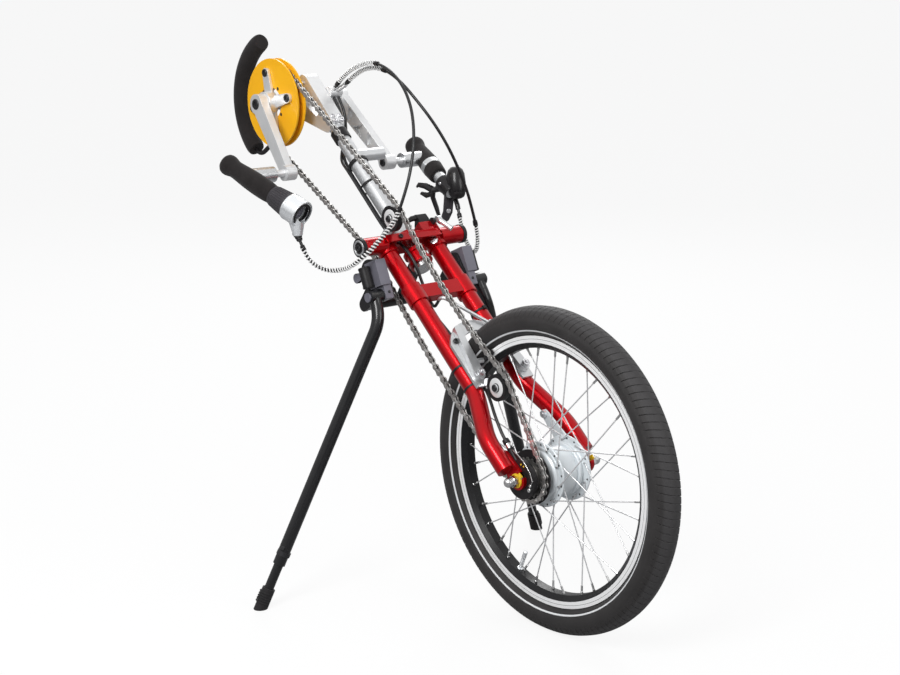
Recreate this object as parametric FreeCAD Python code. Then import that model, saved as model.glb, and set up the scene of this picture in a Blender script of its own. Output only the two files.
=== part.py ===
import FreeCAD, Part
import math
import os

# Front drive unit of an attachable handcycle: one 20 inch wheel in a twin tube fork, a boom
# with hand cranks, a chain down to the geared hub, and a docking frame with two stand legs.
# X is the rider's left, -Y is forward and Z is up. The origin is on the floor under the axle.
# Most of the fork is drawn in its own frame: x, back (b) and along the steering axis (s).

V = FreeCAD.Vector

# Wheel sizes
wheel_radius = 254.0
tyre_width = 50.0
tyre_depth = 47.0
tyre_wall = 4.0
rim_outer_radius = 210.0
rim_depth = 19.5
rim_track_depth = 12.0
rim_width = 28.0
rim_wall = 2.6
rim_bed_half_width = 8.0
tyre_bead_depth = 4.0
tyre_bead_width = 3.0
spoke_count = 36
spoke_radius = 1.0
spoke_seat = 0.3
spoke_run_in = 1.6
hub_shell_radius = 42.0
hub_flange_lip = 6.0
hub_flange_near = -24.0
hub_flange_far = 30.0
hub_flange_thickness = 3.4
hub_near_reach = 7.0
hub_far_reach = 22.0
dropout_gap = 135.0
axle_radius = 5.0
axle_overhang = 18.0
axle_bore_clearance = 0.05
sprocket_teeth = 18
sprocket_thickness = 2.4
driver_radius = 23.0
driver_reach = 8.0

# Steering axis and fork
steering_tilt = 48.8
fork_half_spacing = 50.0
fork_tube_radius = 14.0
fork_bore_radius = 11.5
fork_foot_half_spacing = 82.0
fork_foot_radius = 12.8
fork_foot_start = 20.0
fork_bend_low = 78.0
fork_bend_high = 162.0
fork_bend_radius = 90.0
dropout_thickness = 6.0
lower_crown_s = 358.0
lower_crown_height = 22.0
upper_crown_s = 452.0
upper_crown_height = 14.0
crown_wall = 3.0
crown_plate_thickness = 4.0
seat_gap = 0.3
head_tube_radius = 17.0
head_tube_gap = 3.0
head_tube_length = 26.0
cup_height = 6.0
cup_radius = 20.0
stub_tube_radius = 14.5
stub_tube_start = 56.0
stub_tube_reach = 100.0
stub_tube_cap = 6.0
stub_tube_b = -8.0
crown_front_b = -25.0
crown_half_width = 62.0
boom_socket_radius = 19.0
boom_socket_height = 12.0
boom_socket_floor = 2.0
lock_box_inner_x = 19.5
lock_box_width = 34.0
lock_box_height = 18.0
perforated_strip_thickness = 2.5
cable_hole_radius = 5.0
steerer_radius = 12.0

# Boom and crank head
boom_lower_radius = 15.0
boom_upper_radius = 12.0
boom_split_s = 640.0
boom_top_s = 740.0
stub_radius = 10.5
stub_reach = 60.0
crank_axis_s = 820.0
crank_axis_b = 38.5
shell_radius = 20.0
shell_half_width = 34.0
crank_head_half_width = 13.0
crank_axle_radius = 12.0

# Cranks
crank_length = 150.0
crank_angle = 43.5
crank_boss_x = 84.0
crank_end_x = 105.0
crank_thickness = 14.0
crank_boss_radius = 17.0
crank_end_radius = 13.0
chain_x = -50.0
disc_radius = 75.0
disc_thickness = 3.0
disc_gap = 10.5
ring_teeth = 32
ring_bolt_circle = 104.0
ring_thickness = 3.0
chain_pitch = 12.7
chain_height = 8.4
chain_outer_width = 7.2
chain_inner_width = 4.6
chain_seat = 0.4
chain_sag = 13.0

# Handles
handle_pin_radius = 6.0
handle_centre_x = 186.0
handle_bar_radius = 11.0
handle_foam_radius = 17.5
handle_direction = V(0.218, 0.889, 0.395)
handle_back = 50.0
handle_foam_front = -62.0
handle_bar_front = -118.0
handle_hub_radius = 13.0
handle_hub_inner_x = 134.0
twist_ring_length = 36.0
twist_ring_low_radius = 16.5
twist_ring_high_radius = 20.5
housing_length = 28.0
housing_radius = 22.5
housing_mouth_radius = 15.0
housing_tongue_radius = 17.0
housing_tip_radius = 7.5

# Rim brake
brake_plate_thickness = 4.7
brake_plate_outer_x = 58.0
brake_plate_inner_x = 36.0
brake_plate_low_s = 160.0
brake_plate_shoulder_s = 243.0
brake_plate_top_s = 282.0
brake_arch_inner_s = 262.0
brake_stud_x = 46.0
brake_stud_s = 178.0
brake_stud_radius = 5.0
brake_arm_thickness = 8.0
brake_arm_top_x = 35.0
brake_arm_top_s = 266.0
brake_arm_top_radius = 5.5
brake_pad_gap = 1.5
brake_pad_length = 48.0
brake_pad_height = 9.0
brake_pad_thickness = 7.0
noodle_radius = 2.8
noodle_bend = 8.0

# Axle ends
washer_radius = 11.0
washer_thickness = 2.2
axle_nut_radius = 9.0
axle_nut_height = 8.0
joint_ring_radius = 30.0
joint_ring_gap = 0.6
reaction_arm_thickness = 3.2
reaction_arm_length = 100.0
sprocket_disc_radius = 42.0

# Held control cables: hand chosen points in the fork's frame (x, b, s)
held_shift_route = [
    (21, -14, 774.7), (20, -10, 745), (19, 9, 714), (9, 18.5, 692), (-2, 21, 668), (-6.5, 20.6, 636),
    (-6, 20.8, 512), (-17, 15, 484), (-27, 8, 461), (-27, 7, 400), (-26, 9, 358), (-28, 11, 334),
    (-32.6, 2, 306), (-33, -4, 270), (-33, -5, 190), (-37, -10, 164), (-50, -20, 136), (-60, -19.5, 104),
    (-63, -15, 74), (-63, -13, 47)]
held_brake_route = [
    (31, -14, 774.7), (30, -8, 745), (25, 14, 712), (9, 26.5, 690), (-9, 23, 664), (-18, 12, 634),
    (-17.6, 12.4, 512), (-22, 4, 484), (-26, -8, 461), (-25, -13, 440), (-24, -13, 410), (-16, 8, 378),
    (-16.5, 13, 350), (-22, 6, 333), (-29, -20, 329)]
held_bend_cap = 120.0

# Free control cables: hand chosen points from the handle to the clamp on the crank head
cable_radius = 2.5
cable_bend_share = 0.45
cable_outlet_radius = 4.2
cable_outlet_length = 8.0
shift_cable_route = [
    (-161, 424, 570), (-158, 414, 549), (-149, 406, 533), (-138, 386, 524), (-130, 364, 526),
    (-128, 341, 533), (-129, 318, 545), (-119, 302, 560), (-103, 296, 577), (-84, 293, 595),
    (-66, 294, 614), (-58, 288, 642), (-46, 287, 676), (-33, 293, 712), (-19, 308, 748),
    (-6, 332, 783), (3, 365, 813), (8, 407, 835), (12, 454, 843), (16, 504, 832),
    (19, 543, 814), (21, 569, 793)]
brake_cable_route = [
    (171, 424, 586), (168, 413, 563), (163, 398, 543), (157, 380, 528), (150, 361, 522),
    (144, 344, 530), (138, 335, 549), (130, 330, 574), (118, 326, 603), (105, 323, 634),
    (90, 322, 664), (72, 321, 696), (54, 324, 727), (38, 336, 758), (27, 358, 786),
    (21, 389, 813), (20, 427, 830), (23, 471, 833), (27, 517, 820), (30, 551, 799)]
clamp_radius = 10.0
clamp_b = -16.0
clamp_s = 785.0
clamp_width = 24.0

# Idlers
idler_radius = 21.0
idler_width = 10.0
idler_disc_radius = 15.5
idler_axle_radius = 4.0
front_idler_s = 477.0
front_idler_b = -50.0
low_idler_s = 135.0
low_idler_b = -49.0
back_idler_s = 456.0
back_idler_b = 57.5

# Clothing guard
guard_arc_radius = 111.0
guard_foam_radius = 15.5
guard_rod_radius = 4.0
guard_x = -45.0
guard_start_angle = 113.0
guard_end_angle = -2.0
guard_rod_drop = 16.0
guard_rod_side_gap = 14.0
guard_rod_behind = 66.0
guard_rod_seat_down = 36.0

# Docking frame and stand legs
neck_half_width = 9.0
cross_s = 412.0
cross_b = 84.0
cross_radius = 9.5
dock_x = 90.0
dock_lean = 24.0
dock_top_y = 322.0
dock_top_z = 542.0
dock_width = 20.0
dock_depth = 30.0
dock_height = 42.0
dock_low_height = 22.0
dock_plate_thickness = 5.0
dock_tube_radius = 8.0
dock_tube_length = 40.0
dock_tube_start = 9.0
lock_across = 6.0
lock_sleeve_radius = 9.0
lock_sleeve_start = 6.5
lock_sleeve_end = 40.0
lock_lever_reach = 22.0
lock_lever_down = 18.0
lock_lever_radius = 8.0
lock_lever_thickness = 5.0
leg_eye_half_width = 12.0
leg_radius = 10.0
leg_wall = 2.0
leg_pivot_x = 107.0
leg_pivot_down = 56.0
leg_bend = (112.0, 281.0, 456.0)
leg_foot = (295.5, 354.5, 9.0)
leg_bend_radius = 60.0
leg_inner_radius = 7.6
leg_inner_length = 42.0
leg_tip_radius = 10.5
leg_tip_length = 26.0
leg_pivot_radius = 5.0

rim_inner_radius = rim_outer_radius - rim_depth
rim_track_inner = rim_outer_radius - rim_track_depth
hub_flange_radius = hub_shell_radius + hub_flange_lip
head_tube_high = upper_crown_s - upper_crown_height / 2 - head_tube_gap
head_tube_low = head_tube_high - head_tube_length
axle_height = wheel_radius
fork_placement = FreeCAD.Placement(V(0, 0, axle_height), FreeCAD.Rotation(V(1, 0, 0), -steering_tilt))


def fork_point(x, b, s):
    """Place a point of the fork's own frame in the part's frame."""
    return fork_placement.multVec(V(x, b, s))


def in_part(shape):
    """Move a shape drawn in the fork's frame to its place in the part."""
    moved = shape.copy()
    moved.Placement = fork_placement.multiply(moved.Placement)
    return moved


def cylinder(start, end, radius):
    """A solid round bar between two points."""
    start, end = V(*start), V(*end)
    return Part.makeCylinder(radius, (end - start).Length, start, end - start)


def tube(start, end, radius, bore):
    """A round tube between two points."""
    return cylinder(start, end, radius).cut(cylinder(start, end, bore))


def box(low, high):
    """A block between two opposite corners."""
    low, high = V(*low), V(*high)
    size = high - low
    return Part.makeBox(size.x, size.y, size.z, low)


def path(points, radii):
    """Straight runs through the points, joined by tangent arcs of the given radii."""
    points = [V(*p) for p in points]
    edges = []
    start = points[0]
    for before, corner, after, radius in zip(points, points[1:], points[2:], radii):
        incoming = (corner - before).normalize()
        outgoing = (after - corner).normalize()
        half_turn = incoming.getAngle(outgoing) / 2
        reach = radius * math.tan(half_turn)
        arc_start = corner - incoming * reach
        arc_end = corner + outgoing * reach
        inward = (outgoing - incoming).normalize()
        centre = corner + inward * (radius / math.cos(half_turn))
        middle = centre - inward * radius
        edges.append(Part.LineSegment(start, arc_start).toShape())
        edges.append(Part.Arc(arc_start, middle, arc_end).toShape())
        start = arc_end
    edges.append(Part.LineSegment(start, points[-1]).toShape())
    return Part.Wire(edges)


def sweep(wire, radius):
    """A round bar along a path."""
    first = wire.Edges[0]
    start = first.valueAt(first.FirstParameter)
    circle = Part.Wire(Part.makeCircle(radius, start, first.tangentAt(first.FirstParameter)))
    return wire.makePipeShell([circle], True, False)


def swept_tube(points, radii, radius, bore):
    """A bent round tube."""
    wire = path(points, radii)
    return sweep(wire, radius).cut(sweep(wire, bore))


def prism(outline, direction):
    """A closed outline pushed along a direction."""
    corners = [V(*p) for p in outline]
    return Part.Face(Part.makePolygon(corners + corners[:1])).extrude(V(*direction))


def rounded_prism(circles, x_low, x_high):
    """A plate across x whose outline wraps circles given as (b, s, radius), counter-clockwise."""
    edges = []
    tangents = []
    count = len(circles)
    for index in range(count):
        (b0, s0, r0), (b1, s1, r1) = circles[index], circles[(index + 1) % count]
        span = math.hypot(b1 - b0, s1 - s0)
        heading = math.atan2(s1 - s0, b1 - b0)
        turn = math.acos((r0 - r1) / span)
        normal = heading - turn
        tangents.append(((b0 + r0 * math.cos(normal), s0 + r0 * math.sin(normal)),
                         (b1 + r1 * math.cos(normal), s1 + r1 * math.sin(normal)), normal))
    for index in range(count):
        leave, arrive, normal = tangents[index]
        next_leave, _, next_normal = tangents[(index + 1) % count]
        b, s, radius = circles[(index + 1) % count]
        edges.append(Part.LineSegment(V(x_low, *leave), V(x_low, *arrive)).toShape())
        sweep_angle = (next_normal - normal) % (2 * math.pi)
        middle = normal + sweep_angle / 2
        edges.append(Part.Arc(V(x_low, *arrive),
                              V(x_low, b + radius * math.cos(middle), s + radius * math.sin(middle)),
                              V(x_low, *next_leave)).toShape())
    return Part.Face(Part.Wire(edges)).extrude(V(x_high - x_low, 0, 0))


def mirror_x(shape):
    """The same shape on the other side of the middle plane."""
    return shape.mirror(V(0, 0, 0), V(1, 0, 0))


def revolve_about_axle(outline):
    """Turn an (x, radius) outline about the wheel's axle."""
    corners = [V(x, 0, axle_height + radius) for x, radius in outline]
    face = Part.Face(Part.makePolygon(corners + corners[:1]))
    return face.revolve(V(0, 0, axle_height), V(1, 0, 0), 360)


def export(name, *solids):
    """Write one node, as one solid or several that don't touch."""
    shape = solids[0] if len(solids) == 1 else Part.makeCompound(list(solids))
    shape.exportStep("parts/" + name + ".step")


# Wheel

def make_tyre():
    """A hollow tyre with a round tread and sidewalls down to the rim's hooks."""
    half = tyre_width / 2
    bead = rim_outer_radius - tyre_bead_depth
    middle = wheel_radius - tyre_depth / 2
    outer = []
    inner = []
    for step in range(13):
        angle = math.radians(-52 + step * (180 + 2 * 52) / 12)
        outer.append((half * math.cos(angle), middle + tyre_depth / 2 * math.sin(angle)))
    for step in range(9):
        angle = math.radians(180 + 42 - step * (180 + 2 * 42) / 8)
        inner.append(((half - tyre_wall) * math.cos(angle),
                      middle + (tyre_depth / 2 - tyre_wall) * math.sin(angle)))
    bead_x = rim_width / 2 - rim_wall - seat_gap
    hook = rim_outer_radius + seat_gap
    outline = ([(bead_x, bead), (bead_x, hook)] + outer + [(-bead_x, hook), (-bead_x, bead)]
               + [(-bead_x + tyre_bead_width, bead)] + inner + [(bead_x - tyre_bead_width, bead)])
    return revolve_about_axle(outline)


def make_rim():
    """A hooked alloy rim with upright brake tracks and a closed spoke bed."""
    half = rim_width / 2
    outline = [(half, rim_outer_radius), (half, rim_track_inner), (rim_bed_half_width, rim_inner_radius),
               (-rim_bed_half_width, rim_inner_radius), (-half, rim_track_inner), (-half, rim_outer_radius),
               (-half + rim_wall, rim_outer_radius), (-half + rim_wall, rim_track_inner + 2.0),
               (half - rim_wall, rim_track_inner + 2.0), (half - rim_wall, rim_outer_radius)]
    return revolve_about_axle(outline)


def make_hub_shell():
    """The geared hub's shell with its two spoke flanges, bored for the axle."""
    near, far = hub_flange_near, hub_flange_far
    half = hub_flange_thickness / 2
    outline = [(near - hub_near_reach, axle_radius + axle_bore_clearance),
               (near - hub_near_reach, hub_shell_radius - 6.0),
               (near - half, hub_shell_radius), (near - half, hub_flange_radius),
               (near + half, hub_flange_radius), (near + half, hub_shell_radius),
               (far - half, hub_shell_radius), (far - half, hub_flange_radius),
               (far + half, hub_flange_radius), (far + half, hub_shell_radius - 3.0),
               (far + 14.0, hub_shell_radius - 12.0), (far + hub_far_reach, hub_shell_radius - 26.0),
               (far + hub_far_reach, axle_radius + axle_bore_clearance)]
    return revolve_about_axle(outline)


def make_spokes():
    """Crossed wire spokes from both flanges to the rim's bed."""
    spokes = []
    per_flange = spoke_count // 2
    for side, flange_x in enumerate((hub_flange_near, hub_flange_far)):
        outward = -1 if side == 0 else 1
        for index in range(per_flange):
            rim_angle = 2 * math.pi * (2 * index + side) / spoke_count
            lean = 1 if index % 2 else -1
            hub_angle = rim_angle + lean * math.radians(52)
            layer = outward * lean * (hub_flange_thickness / 2 + spoke_radius + spoke_seat)
            if lean == 1:
                layer += outward * spoke_run_in
            start_radius = hub_flange_radius - 4.0
            end_radius = rim_inner_radius - spoke_seat
            start = V(flange_x + layer, start_radius * math.cos(hub_angle),
                      axle_height + start_radius * math.sin(hub_angle))
            end = V(outward * 3.0 + lean * outward * 1.2, end_radius * math.cos(rim_angle),
                    axle_height + end_radius * math.sin(rim_angle))
            spokes.append(cylinder(start, end, spoke_radius))
    return spokes


# Chain

def tangent_points(first, second, side):
    """Ends of the outer tangent of two circles (b, s, radius) on one side of their line."""
    (b0, s0, r0), (b1, s1, r1) = first, second
    span = math.hypot(b1 - b0, s1 - s0)
    heading = math.atan2(s1 - s0, b1 - b0)
    turn = side * math.acos((r0 - r1) / span)
    normal = heading + turn
    return ((b0 + r0 * math.cos(normal), s0 + r0 * math.sin(normal)),
            (b1 + r1 * math.cos(normal), s1 + r1 * math.sin(normal)))


def cross_tangent_points(first, second, side):
    """Ends of the tangent that crosses between two circles (b, s, radius)."""
    (b0, s0, r0), (b1, s1, r1) = first, second
    span = math.hypot(b1 - b0, s1 - s0)
    heading = math.atan2(s1 - s0, b1 - b0)
    turn = side * math.acos((r0 + r1) / span)
    normal = heading + turn
    return ((b0 + r0 * math.cos(normal), s0 + r0 * math.sin(normal)),
            (b1 - r1 * math.cos(normal), s1 - r1 * math.sin(normal)))


ring_pitch_radius = chain_pitch / (2 * math.sin(math.pi / ring_teeth))
sprocket_pitch_radius = chain_pitch / (2 * math.sin(math.pi / sprocket_teeth))
idler_pitch_radius = math.hypot(idler_radius + chain_seat + chain_height / 2, chain_pitch / 2)


def arc_samples(centre, radius, start, end, turn):
    """Points along an arc from one point to another, turning +1 or -1."""
    begin = math.atan2(start[1] - centre[1], start[0] - centre[0])
    finish = math.atan2(end[1] - centre[1], end[0] - centre[0])
    sweep_angle = (finish - begin) * turn % (2 * math.pi)
    count = max(2, int(radius * sweep_angle / 1.0))
    return [(centre[0] + radius * math.cos(begin + turn * sweep_angle * i / count),
             centre[1] + radius * math.sin(begin + turn * sweep_angle * i / count))
            for i in range(count + 1)]


def sagging_run(start, end, sag):
    """Points along a slack run that hangs back by a sag at its middle."""
    count = int(math.dist(start, end))
    return [(start[0] + (end[0] - start[0]) * i / count + 4 * sag * (i / count) * (1 - i / count),
             start[1] + (end[1] - start[1]) * i / count) for i in range(count + 1)]


def chain_line():
    """The closed line of the chain's pins in the fork's (b, s) plane."""
    ring = (crank_axis_b, crank_axis_s, ring_pitch_radius)
    sprocket = (0.0, 0.0, sprocket_pitch_radius)
    front = (front_idler_b, front_idler_s, idler_pitch_radius)
    low = (low_idler_b, low_idler_s, idler_pitch_radius)
    back = (back_idler_b, back_idler_s, idler_pitch_radius)
    ring_leave, front_meet = tangent_points(ring, front, -1)
    front_leave, low_meet = tangent_points(front, low, -1)
    low_leave, sprocket_meet = tangent_points(low, sprocket, -1)
    sprocket_leave, back_meet = cross_tangent_points(sprocket, back, -1)
    back_leave, ring_meet = cross_tangent_points(back, ring, 1)
    line = [ring_leave, front_meet]
    line += arc_samples(front[:2], front[2], front_meet, front_leave, 1)
    line += sagging_run(front_leave, low_meet, chain_sag)
    line += arc_samples(low[:2], low[2], low_meet, low_leave, 1)
    line += arc_samples(sprocket[:2], sprocket[2], sprocket_meet, sprocket_leave, 1)
    line += sagging_run(sprocket_leave, back_meet, chain_sag)
    line += arc_samples(back[:2], back[2], back_meet, back_leave, -1)
    line += arc_samples(ring[:2], ring[2], ring_meet, ring_leave, 1)
    return line


def points_at_pitch(line, count):
    """Evenly spaced points round a closed line, with the line's total length."""
    total = 0.0
    lengths = [0.0]
    closed = line + line[:1]
    for a, b in zip(closed, closed[1:]):
        total += math.dist(a, b)
        lengths.append(total)
    result = []
    segment = 0
    for index in range(count):
        target = total * index / count
        while lengths[segment + 1] < target:
            segment += 1
        a, b = closed[segment], closed[segment + 1]
        share = (target - lengths[segment]) / (lengths[segment + 1] - lengths[segment])
        result.append((a[0] + (b[0] - a[0]) * share, a[1] + (b[1] - a[1]) * share))
    return result, total


def make_chain():
    """Alternate outer and inner links, each a plain plate between two pins."""
    line = chain_line()
    total = points_at_pitch(line, 2)[1]
    link_count = 2 * round(total / chain_pitch / 2)
    pins, _ = points_at_pitch(line, link_count)
    links = []
    half = chain_height / 2
    for index in range(link_count):
        (b0, s0), (b1, s1) = pins[index], pins[(index + 1) % link_count]
        length = math.dist((b0, s0), (b1, s1))
        ub, us = (b1 - b0) / length, (s1 - s0) / length

        def at(along, across):
            return (b0 + ub * along - us * across, s0 + us * along + ub * across)
        if index % 2 == 0:
            reach = half * 0.9
            corner = half * 0.5
            outline = [at(-reach, -corner), at(-corner, -half), at(length + corner, -half),
                       at(length + reach, -corner), at(length + reach, corner),
                       at(length + corner, half), at(-corner, half), at(-reach, corner)]
            width = chain_outer_width
        else:
            gap = half * 0.9 + seat_gap
            waist = half * 0.62
            outline = [at(gap, -waist), at(length - gap, -waist), at(length - gap, waist), at(gap, waist)]
            width = chain_inner_width
        low = chain_x - width / 2
        links.append(in_part(prism([(low, b, s) for b, s in outline], (width, 0, 0))))
    return links


def toothed_plate(teeth, pitch_radius, thickness, bore, b, s, x):
    """A flat toothed plate whose tips stay just inside the chain."""
    tip = pitch_radius * math.cos(math.pi / teeth) - chain_height / 2 - chain_seat
    root = tip - 3.0
    outline = []
    for index in range(teeth):
        for share, radius in ((0.0, root), (0.3, root), (0.5, tip), (0.8, tip)):
            angle = 2 * math.pi * (index + share) / teeth
            outline.append((x - thickness / 2, b + radius * math.cos(angle), s + radius * math.sin(angle)))
    plate = prism(outline, (thickness, 0, 0))
    return plate.cut(cylinder((x - thickness, b, s), (x + thickness, b, s), bore))


def make_sprocket():
    """The toothed wheel on the hub's driver."""
    bore = axle_radius + axle_bore_clearance
    teeth = toothed_plate(sprocket_teeth, sprocket_pitch_radius, sprocket_thickness, bore, 0, 0, chain_x)
    driver = tube((chain_x - driver_reach, 0, 0), (hub_flange_near - hub_near_reach - seat_gap, 0, 0),
                  driver_radius, bore)
    return in_part(teeth.fuse(driver).removeSplitter())


def make_idler(b, s):
    """A chain roller with a pale face disc, bored for its pin."""
    low, high = chain_x - idler_width / 2, chain_x + idler_width / 2
    roller = tube((low, b, s), (high, b, s), idler_radius, idler_axle_radius + axle_bore_clearance)
    for x_low, x_high in ((low - 1.0, low + 1.5), (high - 1.5, high + 1.0)):
        roller = roller.cut(tube((x_low, b, s), (x_high, b, s), idler_disc_radius, idler_axle_radius + 3.0))
    return in_part(roller)


# Fork

def leg_tube(radius):
    """One fork leg's centre line, swept: straight, splayed outwards and straight again."""
    points = [(fork_half_spacing, 0, upper_crown_s + upper_crown_height / 2 - seat_gap),
              (fork_half_spacing, 0, fork_bend_high),
              (fork_foot_half_spacing, 0, fork_bend_low),
              (fork_foot_half_spacing, 0, fork_foot_start)]
    return sweep(path(points, [fork_bend_radius, fork_bend_radius]), radius)


def make_fork_leg():
    """The left leg with its welded dropout plate."""
    leg = leg_tube(fork_tube_radius).cut(leg_tube(fork_bore_radius))
    plug = cylinder((fork_foot_half_spacing, 0, fork_foot_start),
                    (fork_foot_half_spacing, 0, fork_foot_start + 8.0), fork_foot_radius)
    inner = dropout_gap / 2
    plate = rounded_prism([(0, 0, 15.0), (0, fork_foot_start + 22.0, 11.0)], inner, inner + dropout_thickness)
    slot = cylinder((inner - 1, 0, 0), (inner + dropout_thickness + 1, 0, 0), axle_radius + 0.3)
    mouth = box((inner - 1, -16, -axle_radius - 0.3), (inner + dropout_thickness + 1, 0, axle_radius + 0.3))
    web = box((inner, -9.0, fork_foot_start), (fork_foot_half_spacing, 9.0, fork_foot_start + 14.0))
    return leg.fuse([plug, web, plate]).cut(slot).cut(mouth).removeSplitter()


def crown_sockets(s_low, s_high, radius):
    """The two rings that hold the fork tubes."""
    rings = [cylinder((side * fork_half_spacing, 0, s_low), (side * fork_half_spacing, 0, s_high), radius)
             for side in (-1, 1)]
    return rings


def bore_for_tubes(shape, s_low, s_high):
    """Cut the fork tubes' seats through a crown."""
    for side in (-1, 1):
        x = side * fork_half_spacing
        shape = shape.cut(cylinder((x, 0, s_low - 1), (x, 0, s_high + 1), fork_tube_radius + seat_gap))
    return shape


def make_lower_crown():
    """The bridge between the tubes: two sleeves, a front plate and a plate under it."""
    low, high = lower_crown_s - lower_crown_height / 2, lower_crown_s + lower_crown_height / 2
    rings = crown_sockets(low - 6.0, high + 4.0, fork_tube_radius + crown_wall)
    front = box((-fork_half_spacing, -12.0, low), (fork_half_spacing, -8.0, high))
    floor = box((-fork_half_spacing, -12.0, low - 3.0), (fork_half_spacing, 4.0, low + 2.0))
    shape = rings[0].fuse([rings[1], front, floor])
    return in_part(bore_for_tubes(shape, low - 7.0, high + 5.0).removeSplitter())


crown_top = upper_crown_s + upper_crown_height / 2


def make_upper_crown():
    """The top bracket: sleeves, a lipped plate, the boom's socket, a lock box and a stub tube each side."""
    low = upper_crown_s - upper_crown_height / 2
    top = crown_top + crown_plate_thickness
    side_x, front = crown_half_width, crown_front_b
    rings = crown_sockets(low - 4.0, crown_top, fork_tube_radius + crown_wall)
    plate = prism([(-side_x, front, crown_top), (side_x - 14.0, front, crown_top), (side_x, -8.0, crown_top),
                   (side_x, 12.0, crown_top), (20.0, 24.0, crown_top), (-20.0, 24.0, crown_top),
                   (-side_x, 12.0, crown_top)], (0, 0, crown_plate_thickness))
    lip = box((-side_x, front - 3.0, crown_top - 10.0), (side_x - 14.0, front, top))
    socket = cylinder((0, 0, crown_top), (0, 0, top + boom_socket_height), boom_socket_radius)
    lock = box((lock_box_inner_x, front, crown_top), (lock_box_inner_x + lock_box_width, 14.0,
                                                      top + lock_box_height))
    stubs = [cylinder((side * stub_tube_start, stub_tube_b, crown_top),
                      (side * stub_tube_reach, stub_tube_b, crown_top), stub_tube_radius) for side in (-1, 1)]
    shape = rings[0].fuse([rings[1], plate, lip, socket, lock] + stubs)
    for side in (-1, 1):
        x = side * fork_half_spacing
        shape = shape.cut(cylinder((x, 0, low - 5), (x, 0, crown_top - 0.01), fork_tube_radius + seat_gap))
    for route in (held_shift_route, held_brake_route):
        x, b = [point[:2] for point in route if abs(point[2] - crown_top) < 3.0][0]
        shape = shape.cut(cylinder((x, b, crown_top - 2), (x, b, top + 2), cable_hole_radius))
    boom_bore = cylinder((0, 0, crown_top + boom_socket_floor), (0, 0, top + boom_socket_height + 1),
                         boom_lower_radius + seat_gap)
    return in_part(shape.cut(boom_bore).removeSplitter())


def make_crown_caps():
    """The two end caps of the crown's stub tubes."""
    start = stub_tube_reach + seat_gap
    end = start + stub_tube_cap
    caps = [cylinder((side * start, stub_tube_b, crown_top), (side * end, stub_tube_b, crown_top),
                     stub_tube_radius + 1.0) for side in (-1, 1)]
    return [in_part(cap) for cap in caps]


def make_perforated_strip():
    """The pierced strip behind the right tube between the crowns."""
    back = fork_tube_radius + seat_gap
    low, high = lower_crown_s + 16.0, upper_crown_s - 18.0
    strip = box((-fork_half_spacing + 4.0, back, low), (-fork_half_spacing + 26.0, back + perforated_strip_thickness,
                                                        high))
    count = 4
    for index in range(count):
        s = low + (high - low) * (index + 0.5) / count
        strip = strip.cut(cylinder((-fork_half_spacing + 18.0, back - 1, s),
                                   (-fork_half_spacing + 18.0, back + perforated_strip_thickness + 1, s), 5.0))
    return in_part(strip)


def make_lock_cam():
    """The dark cam block on the lock box."""
    top = crown_top + crown_plate_thickness + lock_box_height + seat_gap
    low, high = lock_box_inner_x + 3.0, lock_box_inner_x + lock_box_width - 5.0
    front = crown_front_b - seat_gap
    block = prism([(low, front - 10.0, top), (low, 0.0, top), (low, -4.0, top + 9.0),
                   (low, front + 4.0, top + 11.0)],
                  (high - low, 0, 0))
    barrel = cylinder((low, front - 9.0, top - 6.0), (high, front - 9.0, top - 6.0), 8.5)
    return in_part(block.fuse(barrel).removeSplitter())


def make_lock_lever():
    """The bright lever bar in front of the lock box."""
    high = lock_box_inner_x + lock_box_width - 5.0 + seat_gap
    top = crown_top + crown_plate_thickness + lock_box_height + seat_gap
    b = crown_front_b - seat_gap - 9.0
    hub = cylinder((high, b, top - 6.0), (high + 8.0, b, top - 6.0), 5.5)
    bar = cylinder((high + 4.0, b, top - 6.0), (high + 14.0, b - 4.0, top - 32.0), 4.5)
    return in_part(hub.fuse(bar).removeSplitter())


def make_steerer():
    """The short steering pin under the upper crown, with its nut."""
    low = head_tube_high - head_tube_length - 3.0
    pin = cylinder((0, 0, low), (0, 0, crown_top - seat_gap), steerer_radius)
    nut = cylinder((0, 0, low - 6.0), (0, 0, low), steerer_radius + 4.0)
    return in_part(pin.fuse(nut).removeSplitter())


def make_boom():
    """The two stage boom tube with its side stub."""
    bottom = crown_top + boom_socket_floor + seat_gap
    lower = cylinder((0, 0, bottom), (0, 0, boom_split_s), boom_lower_radius)
    upper = cylinder((0, 0, boom_split_s), (0, 0, boom_top_s), boom_upper_radius)
    stub = cylinder((0, 0, boom_split_s + 14.0), (stub_reach, 0, boom_split_s + 14.0), stub_radius)
    return in_part(lower.fuse([upper, stub]).removeSplitter())


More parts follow.
